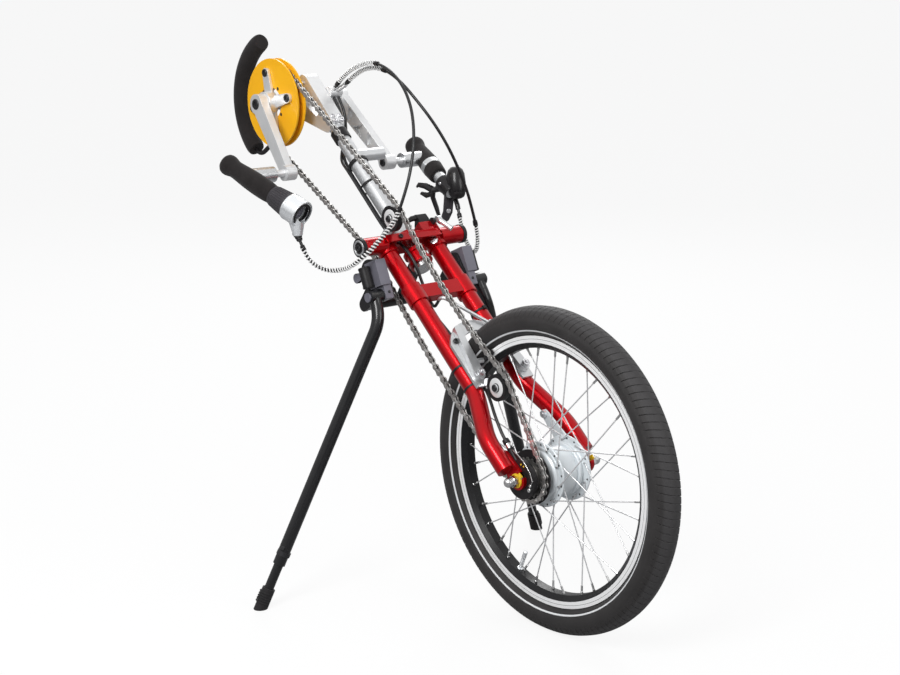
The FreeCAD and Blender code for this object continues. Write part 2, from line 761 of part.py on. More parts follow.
def make_crank_head():
    """The head on the boom's top that carries the crank's bearing shell."""
    low_s = boom_top_s - 26.0
    plate = rounded_prism([(0, low_s + 16.0, 15.0), (crank_axis_b, crank_axis_s, shell_radius + 4.0),
                           (-4.0, crank_axis_s + 2.0, 14.0)],
                          -crank_head_half_width, crank_head_half_width)
    window = rounded_prism([(6.0, boom_top_s + 24.0, 7.0), (14.0, crank_axis_s - 22.0, 7.0),
                            (4.0, crank_axis_s - 14.0, 7.0)],
                           -crank_head_half_width - 1, crank_head_half_width + 1)
    shell = cylinder((-shell_half_width, crank_axis_b, crank_axis_s),
                     (shell_half_width, crank_axis_b, crank_axis_s), shell_radius)
    seat = cylinder((0, 0, low_s - 2.0), (0, 0, boom_top_s + seat_gap), boom_upper_radius + seat_gap)
    bore = cylinder((-shell_half_width - 1, crank_axis_b, crank_axis_s),
                    (shell_half_width + 1, crank_axis_b, crank_axis_s), crank_axle_radius + axle_bore_clearance)
    return in_part(plate.cut(window).fuse(shell).cut(seat).cut(bore).removeSplitter())


# Crank

crank_turn = math.radians(crank_angle)
crank_centre = fork_point(0, crank_axis_b, crank_axis_s)


def crank_point(x, along, across=0.0):
    """A point by its distance along the arm from the crank's axis and across it."""
    y = crank_centre.y - along * math.cos(crank_turn) + across * math.sin(crank_turn)
    z = crank_centre.z - along * math.sin(crank_turn) - across * math.cos(crank_turn)
    return V(x, y, z)


def make_crank_arm(side):
    """A splayed arm with bosses at both ends and ribbed pockets on its inner face."""
    half = crank_thickness / 2
    splay = crank_end_x - crank_boss_x
    corners = ((0, crank_boss_radius - 2.0), (crank_length, crank_end_radius - 2.5),
               (crank_length, -crank_end_radius + 2.5), (0, -crank_boss_radius + 2.0))
    outline = [crank_point(side * (crank_boss_x - half + splay * along / crank_length), along, across)
               for along, across in corners]
    body = prism(outline, (side * crank_thickness, 0, 0))
    boss = cylinder(crank_point(side * (crank_boss_x - half - 1.0), 0),
                    crank_point(side * (crank_boss_x + half + 1.0), 0), crank_boss_radius)
    end = cylinder(crank_point(side * (crank_end_x - half - 4.0), crank_length),
                   crank_point(side * (crank_end_x + half + 2.0), crank_length), crank_end_radius)
    arm = body.fuse([boss, end])
    pocket_depth = 8.0
    starts = [30.0, 60.0, 90.0, 118.0]
    for index, along in enumerate(starts):
        span = 24.0 if index < 3 else 16.0
        top = crank_boss_radius - 5.0 - (crank_boss_radius - crank_end_radius) * along / crank_length
        flip = 1 if index % 2 else -1
        corners = [(along, flip * top), (along + span, flip * top), (along + span * 0.5, -flip * top)]
        inner_x = side * (crank_boss_x - half + splay * along / crank_length - 6.0)
        points = [crank_point(inner_x, a, c) for a, c in corners]
        arm = arm.cut(prism(points, (side * (6.0 + pocket_depth), 0, 0)))
    axle_bore = cylinder(crank_point(side * (crank_boss_x - half - 2.0), 0),
                         crank_point(side * (crank_boss_x + half - 3.0), 0), crank_axle_radius + seat_gap)
    return arm.cut(axle_bore).removeSplitter()


def make_crank_axle():
    """The axle that joins both arms through the shell."""
    reach = crank_boss_x + crank_thickness / 2 - 3.0 - seat_gap
    return cylinder(crank_point(-reach, 0), crank_point(reach, 0), crank_axle_radius)


def make_handle_pin(side):
    """The pin on the arm's end that the handle turns on."""
    return cylinder(crank_point(side * (crank_end_x + crank_thickness / 2 + 2.0), crank_length),
                    crank_point(side * (handle_centre_x - handle_bar_radius), crank_length), handle_pin_radius)


def guard_disc(x):
    """A plain guard disc beside the chainring."""
    low, high = x - disc_thickness / 2, x + disc_thickness / 2
    disc = tube((low, crank_axis_b, crank_axis_s), (high, crank_axis_b, crank_axis_s), disc_radius, 26.0)
    for index in range(4):
        angle = math.radians(90 * index + 35)
        b = crank_axis_b + ring_bolt_circle / 2 * math.cos(angle)
        s = crank_axis_s + ring_bolt_circle / 2 * math.sin(angle)
        disc = disc.cut(cylinder((low - 1, b, s), (high + 1, b, s), 5.2))
    return in_part(disc)


def make_spider():
    """The four arm spider between the right arm and the chainring."""
    near_disc_x = chain_x - disc_gap / 2 - disc_thickness
    high = near_disc_x - seat_gap
    low = -(crank_boss_x - crank_thickness / 2 - 1.0) + seat_gap
    hub = tube((low, crank_axis_b, crank_axis_s), (high, crank_axis_b, crank_axis_s),
               20.0, crank_axle_radius + seat_gap)
    parts = []
    for index in range(4):
        angle = math.radians(90 * index + 35)
        b = ring_bolt_circle / 2 * math.cos(angle)
        s = ring_bolt_circle / 2 * math.sin(angle)
        arm = rounded_prism([(crank_axis_b, crank_axis_s, 12.0), (crank_axis_b + b, crank_axis_s + s, 8.0)],
                            high - 5.0, high)
        bolt = cylinder((high, crank_axis_b + b, crank_axis_s + s),
                        (chain_x + disc_gap / 2 + disc_thickness + 1.5, crank_axis_b + b, crank_axis_s + s), 4.8)
        parts += [arm, bolt]
    spider = hub.fuse(parts)
    bore = cylinder((low - 1, crank_axis_b, crank_axis_s), (high + 1, crank_axis_b, crank_axis_s),
                    crank_axle_radius + seat_gap)
    return in_part(spider.cut(bore).removeSplitter())


def make_chainring():
    """The toothed ring between the two guard discs."""
    ring = toothed_plate(ring_teeth, ring_pitch_radius, ring_thickness, 42.0,
                         crank_axis_b, crank_axis_s, chain_x)
    for index in range(4):
        angle = math.radians(90 * index + 35)
        b = crank_axis_b + ring_bolt_circle / 2 * math.cos(angle)
        s = crank_axis_s + ring_bolt_circle / 2 * math.sin(angle)
        ring = ring.cut(cylinder((chain_x - 5, b, s), (chain_x + 5, b, s), 5.2))
    return in_part(ring)


# Handles

handle_axis = V(handle_direction).normalize()
handle_origin = crank_point(0, crank_length)


def handle_point(side, along):
    """A point along a handle's bar from where its pin meets it."""
    return V(side * (handle_centre_x + handle_axis.x * along), handle_origin.y + handle_axis.y * along,
             handle_origin.z + handle_axis.z * along)


def handle_tube(side, start, end, radius):
    return cylinder(handle_point(side, start), handle_point(side, end), radius)


def make_handle_bar(side):
    """The bar and the sleeve that turns on the pin."""
    bar = handle_tube(side, handle_bar_front, handle_back - 4.0, handle_bar_radius)
    sleeve = cylinder(V(side * handle_hub_inner_x, handle_origin.y, handle_origin.z),
                      V(side * (handle_centre_x - 6.0), handle_origin.y, handle_origin.z), handle_hub_radius)
    bore = cylinder(V(side * (handle_hub_inner_x - 1), handle_origin.y, handle_origin.z),
                    V(side * (handle_centre_x - handle_bar_radius + 0.5), handle_origin.y, handle_origin.z),
                    handle_pin_radius + axle_bore_clearance)
    return bar.fuse(sleeve).cut(bore).removeSplitter()


def make_handle_foam(side):
    """The foam sleeve on the bar, cut for the pin's sleeve."""
    foam = handle_tube(side, handle_foam_front, handle_back, handle_foam_radius)
    foam = foam.cut(handle_tube(side, handle_foam_front - 1, handle_back - 4.0 + seat_gap,
                                handle_bar_radius + seat_gap))
    sleeve = cylinder(V(side * (handle_hub_inner_x - 1), handle_origin.y, handle_origin.z),
                      V(side * (handle_centre_x - 6.0), handle_origin.y, handle_origin.z),
                      handle_hub_radius + seat_gap)
    return foam.cut(sleeve)


def make_twist_shifter():
    """The right handle's twist ring and the indicator housing beside it."""
    side = -1
    bore = handle_tube(side, handle_bar_front - 20, handle_foam_front, handle_bar_radius + seat_gap)
    twist_low = handle_foam_front - seat_gap
    twist_high = twist_low - twist_ring_length
    back, front = handle_point(side, twist_low), handle_point(side, twist_high)
    twist = Part.makeCone(twist_ring_low_radius, twist_ring_high_radius, twist_ring_length, back, front - back)
    shell_back = twist_high - seat_gap
    shell_front = shell_back - housing_length
    shell = handle_tube(side, shell_front, shell_back, housing_radius)
    mouth = handle_tube(side, shell_front - 1, handle_bar_front - 2.0, housing_mouth_radius)
    root = handle_point(side, (shell_front + shell_back) / 2)
    start, towards = V(*shift_cable_route[0]), V(*shift_cable_route[1])
    tip = start - V(towards - start).normalize() * cable_outlet_length
    tongue = Part.makeCone(housing_tongue_radius, housing_tip_radius, (tip - root).Length, root, tip - root)
    outlet = cylinder(start, tip, cable_outlet_radius)
    housing = shell.fuse([tongue, outlet]).cut(bore).cut(mouth)
    return twist.cut(bore), housing.removeSplitter()


def make_brake_lever():
    """The left handle's brake clamp and two finger blade."""
    side = 1
    bore = handle_tube(side, handle_bar_front - 20, handle_foam_front + 1, handle_bar_radius + seat_gap)
    clamp = handle_tube(side, handle_foam_front - 30.0, handle_foam_front - 8.0, 17.0)
    start = handle_point(side, handle_foam_front - 19.0)
    arm = cylinder(start, start + V(8.0, -22.0, -22.0), 9.0)
    blade = sweep(path([start + V(8.0, -20.0, -20.0), start + V(8.0, -6.0, -50.0),
                        start + V(10.0, 22.0, -76.0)], [40.0]), 5.0)
    outlet = cable_outlet(brake_cable_route[0], brake_cable_route[1], start + V(7.0, -20.0, -20.0))
    return clamp.fuse([arm, blade] + outlet).cut(bore).removeSplitter()


# Cables

def bend_radii(points, cap):
    """Arcs as large as the runs beside each point allow, up to a cap."""
    radii = []
    for before, corner, after in zip(points, points[1:], points[2:]):
        incoming, outgoing = corner - before, after - corner
        shorter = min(incoming.Length, outgoing.Length)
        radii.append(min(cap, cable_bend_share * shorter / math.tan(incoming.getAngle(outgoing) / 2)))
    return radii


def make_cord(route, cap=1000.0):
    """A cable along straight runs joined by arcs."""
    points = [V(*p) for p in route]
    radii = bend_radii(points, cap)
    wire = path(route, radii)
    cord = sweep(wire, cable_radius)
    print("cable radii", [round(radius) for radius in radii])
    print("cable length", round(wire.Length), "volume share",
          round(cord.Volume / (math.pi * cable_radius ** 2 * wire.Length), 4))
    return cord


def cable_outlet(start, towards, root):
    """A round outlet that a cable leaves end on, with the neck that joins it to its root."""
    start, towards = V(*start), V(*towards)
    direction = V(towards - start).normalize()
    mouth = start - direction * cable_outlet_length
    return [cylinder(start, mouth, cable_outlet_radius), cylinder(mouth, root, cable_outlet_radius)]


def make_cable_clamp():
    """The clamp on the crank head's left side where both free cables end."""
    low = crank_head_half_width + seat_gap
    body = cylinder((low, clamp_b, clamp_s), (low + clamp_width, clamp_b, clamp_s), clamp_radius)
    centre = fork_point(low + clamp_width / 2, clamp_b, clamp_s)
    body = in_part(body)
    for route in (shift_cable_route, brake_cable_route):
        body = body.fuse(cable_outlet(route[-1], route[-2], centre))
    return body.removeSplitter()


# Idler brackets

def idler_pin(b, s, reach):
    """The pin that carries a roller, with its head, from a bracket beside it."""
    low = chain_x - idler_width / 2
    return [cylinder((reach, b, s), (low - 1.0, b, s), idler_axle_radius),
            cylinder((low - 3.0, b, s), (low - 1.0 - seat_gap, b, s), idler_axle_radius + 2.5)]


def make_idler_brackets():
    """Plates that carry the rollers: one on the upper crown and one in front of the brake plate."""
    inner = chain_x + idler_width / 2 + 1.0 + seat_gap
    foot_s = crown_top + crown_plate_thickness + seat_gap
    elbow_s = foot_s + 11.0
    top = rounded_prism([(front_idler_b, front_idler_s, 9.0), (30.0, elbow_s, 9.0)], inner, inner + 5.0)
    tail = rounded_prism([(30.0, elbow_s, 9.0), (back_idler_b, back_idler_s, 9.0)], inner, inner + 5.0)
    foot = box((inner, -12.0, foot_s), (inner + 5.0, 10.0, elbow_s))
    top = top.fuse([tail, foot] + idler_pin(front_idler_b, front_idler_s, inner + 2.0)
                   + idler_pin(back_idler_b, back_idler_s, inner + 2.0))
    face = -fork_tube_radius - seat_gap - brake_plate_thickness - seat_gap
    low = rounded_prism([(low_idler_b, low_idler_s, 9.0), (face - 7.0, brake_plate_low_s, 7.0)],
                        inner, inner + 4.0)
    low = low.fuse(idler_pin(low_idler_b, low_idler_s, inner + 2.0))
    return in_part(top.removeSplitter()), in_part(low.removeSplitter())


# Rim brake

def arc_through(start, middle, end, b):
    """An arc in the plane across the fork through three (x, s) points."""
    return Part.Arc(*[V(x, b, s) for x, s in (start, middle, end)]).toShape()


def line_between(start, end, b):
    """A straight edge in the plane across the fork between two (x, s) points."""
    return Part.LineSegment(V(start[0], b, start[1]), V(end[0], b, end[1])).toShape()


def make_brake_plate():
    """The arched plate on the front of both legs, with the studs the brake arms turn on."""
    front = -fork_tube_radius - seat_gap - brake_plate_thickness
    outer, inner = brake_plate_outer_x, brake_plate_inner_x
    low, shoulder = brake_plate_low_s, brake_plate_shoulder_s
    edges = [line_between((-outer, low), (-outer, shoulder), front),
             arc_through((-outer, shoulder), (0, brake_plate_top_s), (outer, shoulder), front),
             line_between((outer, shoulder), (outer, low), front),
             line_between((outer, low), (inner, low), front),
             line_between((inner, low), (inner, shoulder - 5.0), front),
             arc_through((inner, shoulder - 5.0), (0, brake_arch_inner_s), (-inner, shoulder - 5.0), front),
             line_between((-inner, shoulder - 5.0), (-inner, low), front),
             line_between((-inner, low), (-outer, low), front)]
    plate = Part.Face(Part.Wire(edges)).extrude(V(0, brake_plate_thickness, 0))
    for side in (-1, 1):
        x = side * brake_stud_x
        plate = plate.fuse(cylinder((x, front + 1.0, brake_stud_s),
                                    (x, front - brake_arm_thickness - 3.0, brake_stud_s), brake_stud_radius))
        for s in (brake_stud_s + 22.0, brake_stud_s + 70.0):
            plate = plate.cut(cylinder((x, front - 1, s), (x, front + brake_plate_thickness + 1, s), 3.4))
    return in_part(plate.removeSplitter())


brake_front = -fork_tube_radius - seat_gap - brake_plate_thickness - seat_gap
brake_pad_b = brake_front - brake_arm_thickness / 2
brake_pad_radius = rim_outer_radius - rim_track_depth / 2
brake_pad_s = math.sqrt(brake_pad_radius ** 2 - brake_pad_b ** 2)


def brake_arm_outline(side, circles):
    """A tapering arm in the plane across the fork that wraps circles given as (x, s, radius)."""
    (x0, s0, r0), (x1, s1, r1) = circles
    span = math.hypot(x1 - x0, s1 - s0)
    heading = math.atan2(s1 - s0, x1 - x0)
    turn = math.acos((r0 - r1) / span)
    left, right = heading + turn, heading - turn
    start_left, end_left = ((x + r * math.cos(left), s + r * math.sin(left)) for x, s, r in circles)
    start_right, end_right = ((x + r * math.cos(right), s + r * math.sin(right)) for x, s, r in circles)
    tip = (x1 + r1 * math.cos(heading), s1 + r1 * math.sin(heading))
    root = (x0 - r0 * math.cos(heading), s0 - r0 * math.sin(heading))
    edges = [line_between(start_right, end_right, brake_front),
             arc_through(end_right, tip, end_left, brake_front),
             line_between(end_left, start_left, brake_front),
             arc_through(start_left, root, start_right, brake_front)]
    arm = Part.Face(Part.Wire(edges)).extrude(V(0, -brake_arm_thickness, 0))
    return arm if side == 1 else mirror_x(arm)


def make_brake_arms():
    """The two upright brake arms with their pad posts, and the bent guide pipe between their tops."""
    arms = []
    for side in (-1, 1):
        arm = brake_arm_outline(side, [(brake_stud_x, brake_stud_s, 9.0),
                                       (brake_arm_top_x, brake_arm_top_s, brake_arm_top_radius)])
        post_start = rim_width / 2 + brake_pad_gap + brake_pad_thickness + seat_gap
        post = cylinder((side * post_start, brake_pad_b, brake_pad_s),
                        (side * (brake_stud_x + 2.0), brake_pad_b, brake_pad_s), 4.0)
        arm = arm.fuse(post).cut(cylinder((side * brake_stud_x, 0, brake_stud_s),
                                          (side * brake_stud_x, -60, brake_stud_s),
                                          brake_stud_radius + axle_bore_clearance))
        arms.append(in_part(arm.removeSplitter()))
    return arms


def make_noodle():
    """The bent guide pipe that leads the brake cable across the arms' tops."""
    start = V(*held_brake_route[-1])
    before = V(*held_brake_route[-2])
    run = V(start - before).normalize()
    turn = start + run * 12.0
    arm_top = V(brake_arm_top_x, brake_pad_b, brake_arm_top_s)
    end = arm_top + V(turn - arm_top).normalize() * (brake_arm_top_radius + seat_gap)
    return in_part(sweep(path([start + run * seat_gap, turn, end], [noodle_bend]), noodle_radius))


def make_brake_pads():
    """The two long pads beside the rim's tracks."""
    tangent = V(0, brake_pad_s, -brake_pad_b).normalize()
    radial = V(0, brake_pad_b, brake_pad_s).normalize()
    pads = []
    for side in (-1, 1):
        x = rim_width / 2 + brake_pad_gap
        centre = V(side * x, brake_pad_b, brake_pad_s)
        corners = [centre + tangent * (a * brake_pad_length / 2) + radial * (c * brake_pad_height / 2)
                   for a, c in ((-1, -0.6), (1, -0.6), (1, 0.6), (-1, 0.6))]
        pads.append(in_part(prism(corners, (side * brake_pad_thickness, 0, 0))))
    return pads


# Axle ends

dropout_outer_x = dropout_gap / 2 + dropout_thickness


def make_axle_washers():
    """The keyed washers outside the dropouts."""
    low = dropout_outer_x + seat_gap
    washers = []
    for side in (-1, 1):
        ring = cylinder((side * low, 0, 0), (side * (low + washer_thickness), 0, 0), washer_radius)
        tab_low, tab_high = sorted((side * low, side * (low + washer_thickness)))
        tab = box((tab_low, -washer_radius - 4.0, -4.0), (tab_high, 0, 4.0))
        bore = cylinder((side * (low - 1), 0, 0), (side * (low + 5), 0, 0), axle_radius + axle_bore_clearance)
        washers.append(in_part(ring.fuse(tab).cut(bore).removeSplitter()))
    return washers


def make_axle_nuts():
    """The domed nuts on the axle's ends."""
    low = dropout_outer_x + seat_gap + washer_thickness + seat_gap
    axle_end = dropout_outer_x + axle_overhang
    nuts = []
    for side in (-1, 1):
        corners = [(side * low, axle_nut_radius * math.cos(math.radians(60 * k)),
                    axle_nut_radius * math.sin(math.radians(60 * k))) for k in range(6)]
        nut = prism(corners, (side * axle_nut_height, 0, 0))
        barrel = cylinder((side * (low + axle_nut_height - 1), 0, 0), (side * (axle_end - 1.0), 0, 0),
                          axle_nut_radius * 0.82)
        dome = Part.makeSphere(axle_nut_radius * 0.82, V(side * (axle_end - 1.0), 0, 0))
        bore = cylinder((side * (low - 1), 0, 0), (side * (axle_end + seat_gap), 0, 0),
                        axle_radius + axle_bore_clearance)
        nuts.append(in_part(nut.fuse([barrel, dome]).cut(bore).removeSplitter()))
    return nuts


def make_joint_ring():
    """The dark ring beside the sprocket that the gear cable turns, with its cable stop."""
    high = chain_x - driver_reach - joint_ring_gap
    low = -dropout_gap / 2 + joint_ring_gap
    ring = cylinder((low, 0, 0), (high, 0, 0), joint_ring_radius)
    x, b, s = held_shift_route[-1]
    stop = cylinder((x, b, s - seat_gap), (x, b + 3.0, 10.0), 4.0)
    bore = cylinder((low - 1, 0, 0), (high + 1, 0, 0), axle_radius + axle_bore_clearance)
    return in_part(ring.fuse(stop).cut(bore).removeSplitter())


def make_sprocket_disc():
    """The dark disc on the hub side of the sprocket."""
    high = chain_x + chain_outer_width / 2 + 2.4
    return in_part(tube((high - 1.5, 0, 0), (high, 0, 0), sprocket_disc_radius, driver_radius + seat_gap))


def make_reaction_arm():
    """The hub's reaction arm on the left, with its bolt at the leg."""
    low = hub_flange_far + hub_far_reach + joint_ring_gap
    high = low + reaction_arm_thickness
    arm = rounded_prism([(0, 0, 18.0), (2.0, reaction_arm_length, 7.0)], low, high)
    bolt = cylinder((low - 4.0, 2.0, reaction_arm_length), (low + 1.0, 2.0, reaction_arm_length), 6.0)
    bore = cylinder((low - 1, 0, 0), (high + 1, 0, 0), axle_radius + axle_bore_clearance)
    return in_part(arm.fuse(bolt).cut(bore).removeSplitter())


def make_boom_rings():
    """The dark band and ring on the boom."""
    band = tube((0, 0, boom_top_s - 50.0), (0, 0, boom_top_s - 31.0), boom_upper_radius + 2.5,
                boom_upper_radius + seat_gap)
    ring = tube((0, 0, boom_split_s - 6.0), (0, 0, boom_split_s), boom_lower_radius + 2.0,
                boom_lower_radius + seat_gap)
    return in_part(band), in_part(ring)


# Clothing guard

def guard_point(angle):
    """A point of the guard's arc by its angle from straight back."""
    radians = math.radians(angle)
    return V(guard_x, crank_axis_b + guard_arc_radius * math.cos(radians),
             crank_axis_s + guard_arc_radius * math.sin(radians))


def guard_arc(start, end):
    """An arc about the crank's axis."""
    return Part.Arc(guard_point(start), guard_point((start + end) / 2), guard_point(end)).toShape()


def make_guard_foam():
    """The foam sleeve on the guard's rod, closed at its upper end."""
    foam = sweep(Part.Wire([guard_arc(guard_start_angle, guard_end_angle)]), guard_foam_radius)
    bore = sweep(Part.Wire([guard_arc(guard_start_angle - 4.0, guard_end_angle - 1.0)]),
                 guard_rod_radius + seat_gap)
    return in_part(foam.cut(bore))


def make_guard_rod():
    """The rod inside the foam, bent inwards behind the chain and on to the crank head."""
    end = guard_point(guard_end_angle)
    down = V(0, math.sin(math.radians(guard_end_angle)), -math.cos(math.radians(guard_end_angle)))
    corner = end + down * guard_rod_drop
    run_x = -crank_head_half_width - guard_rod_side_gap
    inside = V(run_x, crank_axis_b + guard_rod_behind, corner.z)
    seat_b, seat_s = crank_axis_b - 4.0, crank_axis_s - guard_rod_seat_down
    turn = V(run_x, seat_b, seat_s)
    seat = V(-crank_head_half_width - seat_gap, seat_b, seat_s)
    tail = path([end, corner, inside, turn, seat], [12.0, 12.0, 8.0])
    arc = guard_arc(guard_start_angle - 5.0, guard_end_angle)
    return in_part(sweep(Part.Wire([arc] + tail.Edges), guard_rod_radius))


# Docking frame

def make_head_tube():
    """The frame's head tube round the steerer, with its two cups."""
    bore = steerer_radius + axle_bore_clearance
    wall = tube((0, 0, head_tube_low), (0, 0, head_tube_high), head_tube_radius, bore)
    cups = [tube((0, 0, s), (0, 0, s + cup_height), cup_radius, bore)
            for s in (head_tube_low, head_tube_high - cup_height)]
    return in_part(wall.fuse(cups).removeSplitter())


def make_dock_frame():
    """The neck plate, cross tube and side plates that carry the docks."""
    half = neck_half_width
    neck_low, neck_high = head_tube_low + cup_height + seat_gap, head_tube_high - cup_height - seat_gap
    neck = prism([(-half, 0, neck_low), (-half, 0, neck_high), (-half, cross_b, cross_s + cross_radius - 3.0),
                  (-half, cross_b, cross_s - cross_radius + 3.0)], (2 * half, 0, 0))
    neck = neck.cut(cylinder((0, 0, head_tube_low), (0, 0, head_tube_high), head_tube_radius + seat_gap))
    for low, high in ((head_tube_low - 20.0, neck_low), (neck_high, head_tube_high + 20.0)):
        neck = neck.cut(cylinder((0, 0, low), (0, 0, high), cup_radius + seat_gap))
    cross_reach = dock_x - dock_width / 2 - seat_gap
    cross = cylinder((-cross_reach, cross_b, cross_s), (cross_reach, cross_b, cross_s), cross_radius)
    plates = []
    for side in (-1, 1):
        low, high = sorted((side * cross_reach, side * (cross_reach - dock_plate_thickness)))
        plates.append(rounded_prism([(cross_b, cross_s, cross_radius + 1.0), (8.0, cross_s + 9.0, 11.0),
                                     (14.0, cross_s - 16.0, 11.0)], low, high))
    return in_part(neck.fuse([cross] + plates).removeSplitter())


lean = math.radians(dock_lean)


def dock_point(x, across, down):
    """A point by its place across and down a dock from its top."""
    y = dock_top_y + across * math.cos(lean) - down * math.sin(lean)
    z = dock_top_z - across * math.sin(lean) - down * math.cos(lean)
    return V(x, y, z)


def dock_prism(side, x_low, x_high, down_start, down_end, depth):
    """A clamp block of one dock between two heights."""
    half = depth / 2
    corners = [dock_point(side * x_low, across, down) for across, down in
               ((-half, down_start), (half, down_start), (half, down_end), (-half, down_end))]
    return prism(corners, (side * (x_high - x_low), 0, 0))


def make_dock(side):
    """Upper block, lower block with the leg's pin, docking tube and lock of one side."""
    inner, outer = dock_x - dock_width / 2, dock_x + dock_width / 2
    upper = dock_prism(side, inner, outer, 0.0, dock_height, dock_depth)
    lower_top = dock_height + seat_gap
    lower = dock_prism(side, inner, leg_pivot_x - leg_eye_half_width - seat_gap, lower_top,
                       lower_top + dock_low_height, dock_depth - 4.0)
    head_low = leg_pivot_x + leg_eye_half_width + seat_gap
    pin_end = dock_point(side * (head_low + 3.0), 0, leg_pivot_down)
    pin = cylinder(dock_point(side * (inner + 2.0), 0, leg_pivot_down), pin_end, leg_pivot_radius)
    pin_head = cylinder(dock_point(side * head_low, 0, leg_pivot_down), pin_end, leg_pivot_radius + 2.5)
    tube_across = dock_depth / 2 + dock_tube_radius + seat_gap
    tube_x = side * dock_x
    pipe = tube(dock_point(tube_x, tube_across, dock_tube_start),
                dock_point(tube_x, tube_across, dock_tube_start + dock_tube_length),
                dock_tube_radius, dock_tube_radius - 2.0)
    return upper, lower.fuse([pin, pin_head]).removeSplitter(), pipe, make_dock_lock(side, outer)


def make_dock_lock(side, block_outer):
    """The lock beside one block: a sleeve with its flat lever."""
    x = side * (block_outer + seat_gap + lock_sleeve_radius)
    sleeve = cylinder(dock_point(x, lock_across, lock_sleeve_start),
                      dock_point(x, lock_across, lock_sleeve_end), lock_sleeve_radius)
    half = lock_lever_thickness / 2
    eye_across = lock_across + lock_lever_reach
    eye = cylinder(dock_point(x - half, eye_across, lock_lever_down),
                   dock_point(x + half, eye_across, lock_lever_down), lock_lever_radius)
    corners = [dock_point(x - half, across, lock_lever_down + height) for across, height in
               ((lock_across, -4.0), (eye_across, -lock_lever_radius + 1.0),
                (eye_across, lock_lever_radius - 1.0), (lock_across, 4.0))]
    arm = prism(corners, (lock_lever_thickness, 0, 0))
    return sleeve.fuse([eye, arm]).removeSplitter()


# Stand legs

leg_start = dock_point(leg_pivot_x, 0, leg_pivot_down)
leg_corner = V(*leg_bend)
leg_end = V(*leg_foot)
leg_run = V(leg_end - leg_corner).normalize()


def mirrored(side, shape):
    """The left shape, or its mirror image on the right."""
    return shape if side == 1 else mirror_x(shape)


def make_leg():
    """The left leg's bent outer tube with the eye it folds on."""
    end = leg_end - leg_run * (leg_tip_length + leg_inner_length)
    leg = swept_tube([leg_start, leg_corner, end], [leg_bend_radius], leg_radius, leg_radius - leg_wall)
    low_x, high_x = leg_pivot_x - leg_eye_half_width, leg_pivot_x + leg_eye_half_width
    eye = cylinder((low_x, leg_start.y, leg_start.z), (high_x, leg_start.y, leg_start.z), leg_radius + 1.0)
    bore = cylinder((low_x - 1, leg_start.y, leg_start.z), (high_x + 1, leg_start.y, leg_start.z),
                    leg_pivot_radius + axle_bore_clearance)
    return leg.fuse(eye).cut(bore).removeSplitter()


def make_leg_inner():
    """The left leg's sliding inner tube."""
    start = leg_end - leg_run * (leg_tip_length + leg_inner_length + 60.0)
    end = leg_end - leg_run * 12.0
    return cylinder(start, end, leg_inner_radius)


def make_leg_tip():
    """The left leg's rubber tip, cut flat on the floor."""
    tip = cylinder(leg_end - leg_run * leg_tip_length, leg_end + leg_run * 14.0, leg_tip_radius)
    tip = tip.cut(cylinder(leg_end - leg_run * (leg_tip_length + 1), leg_end - leg_run * (12.0 - seat_gap),
                           leg_inner_radius + seat_gap))
    return tip.common(box((leg_end.x - 60, leg_end.y - 60, 0), (leg_end.x + 60, leg_end.y + 60, 60)))


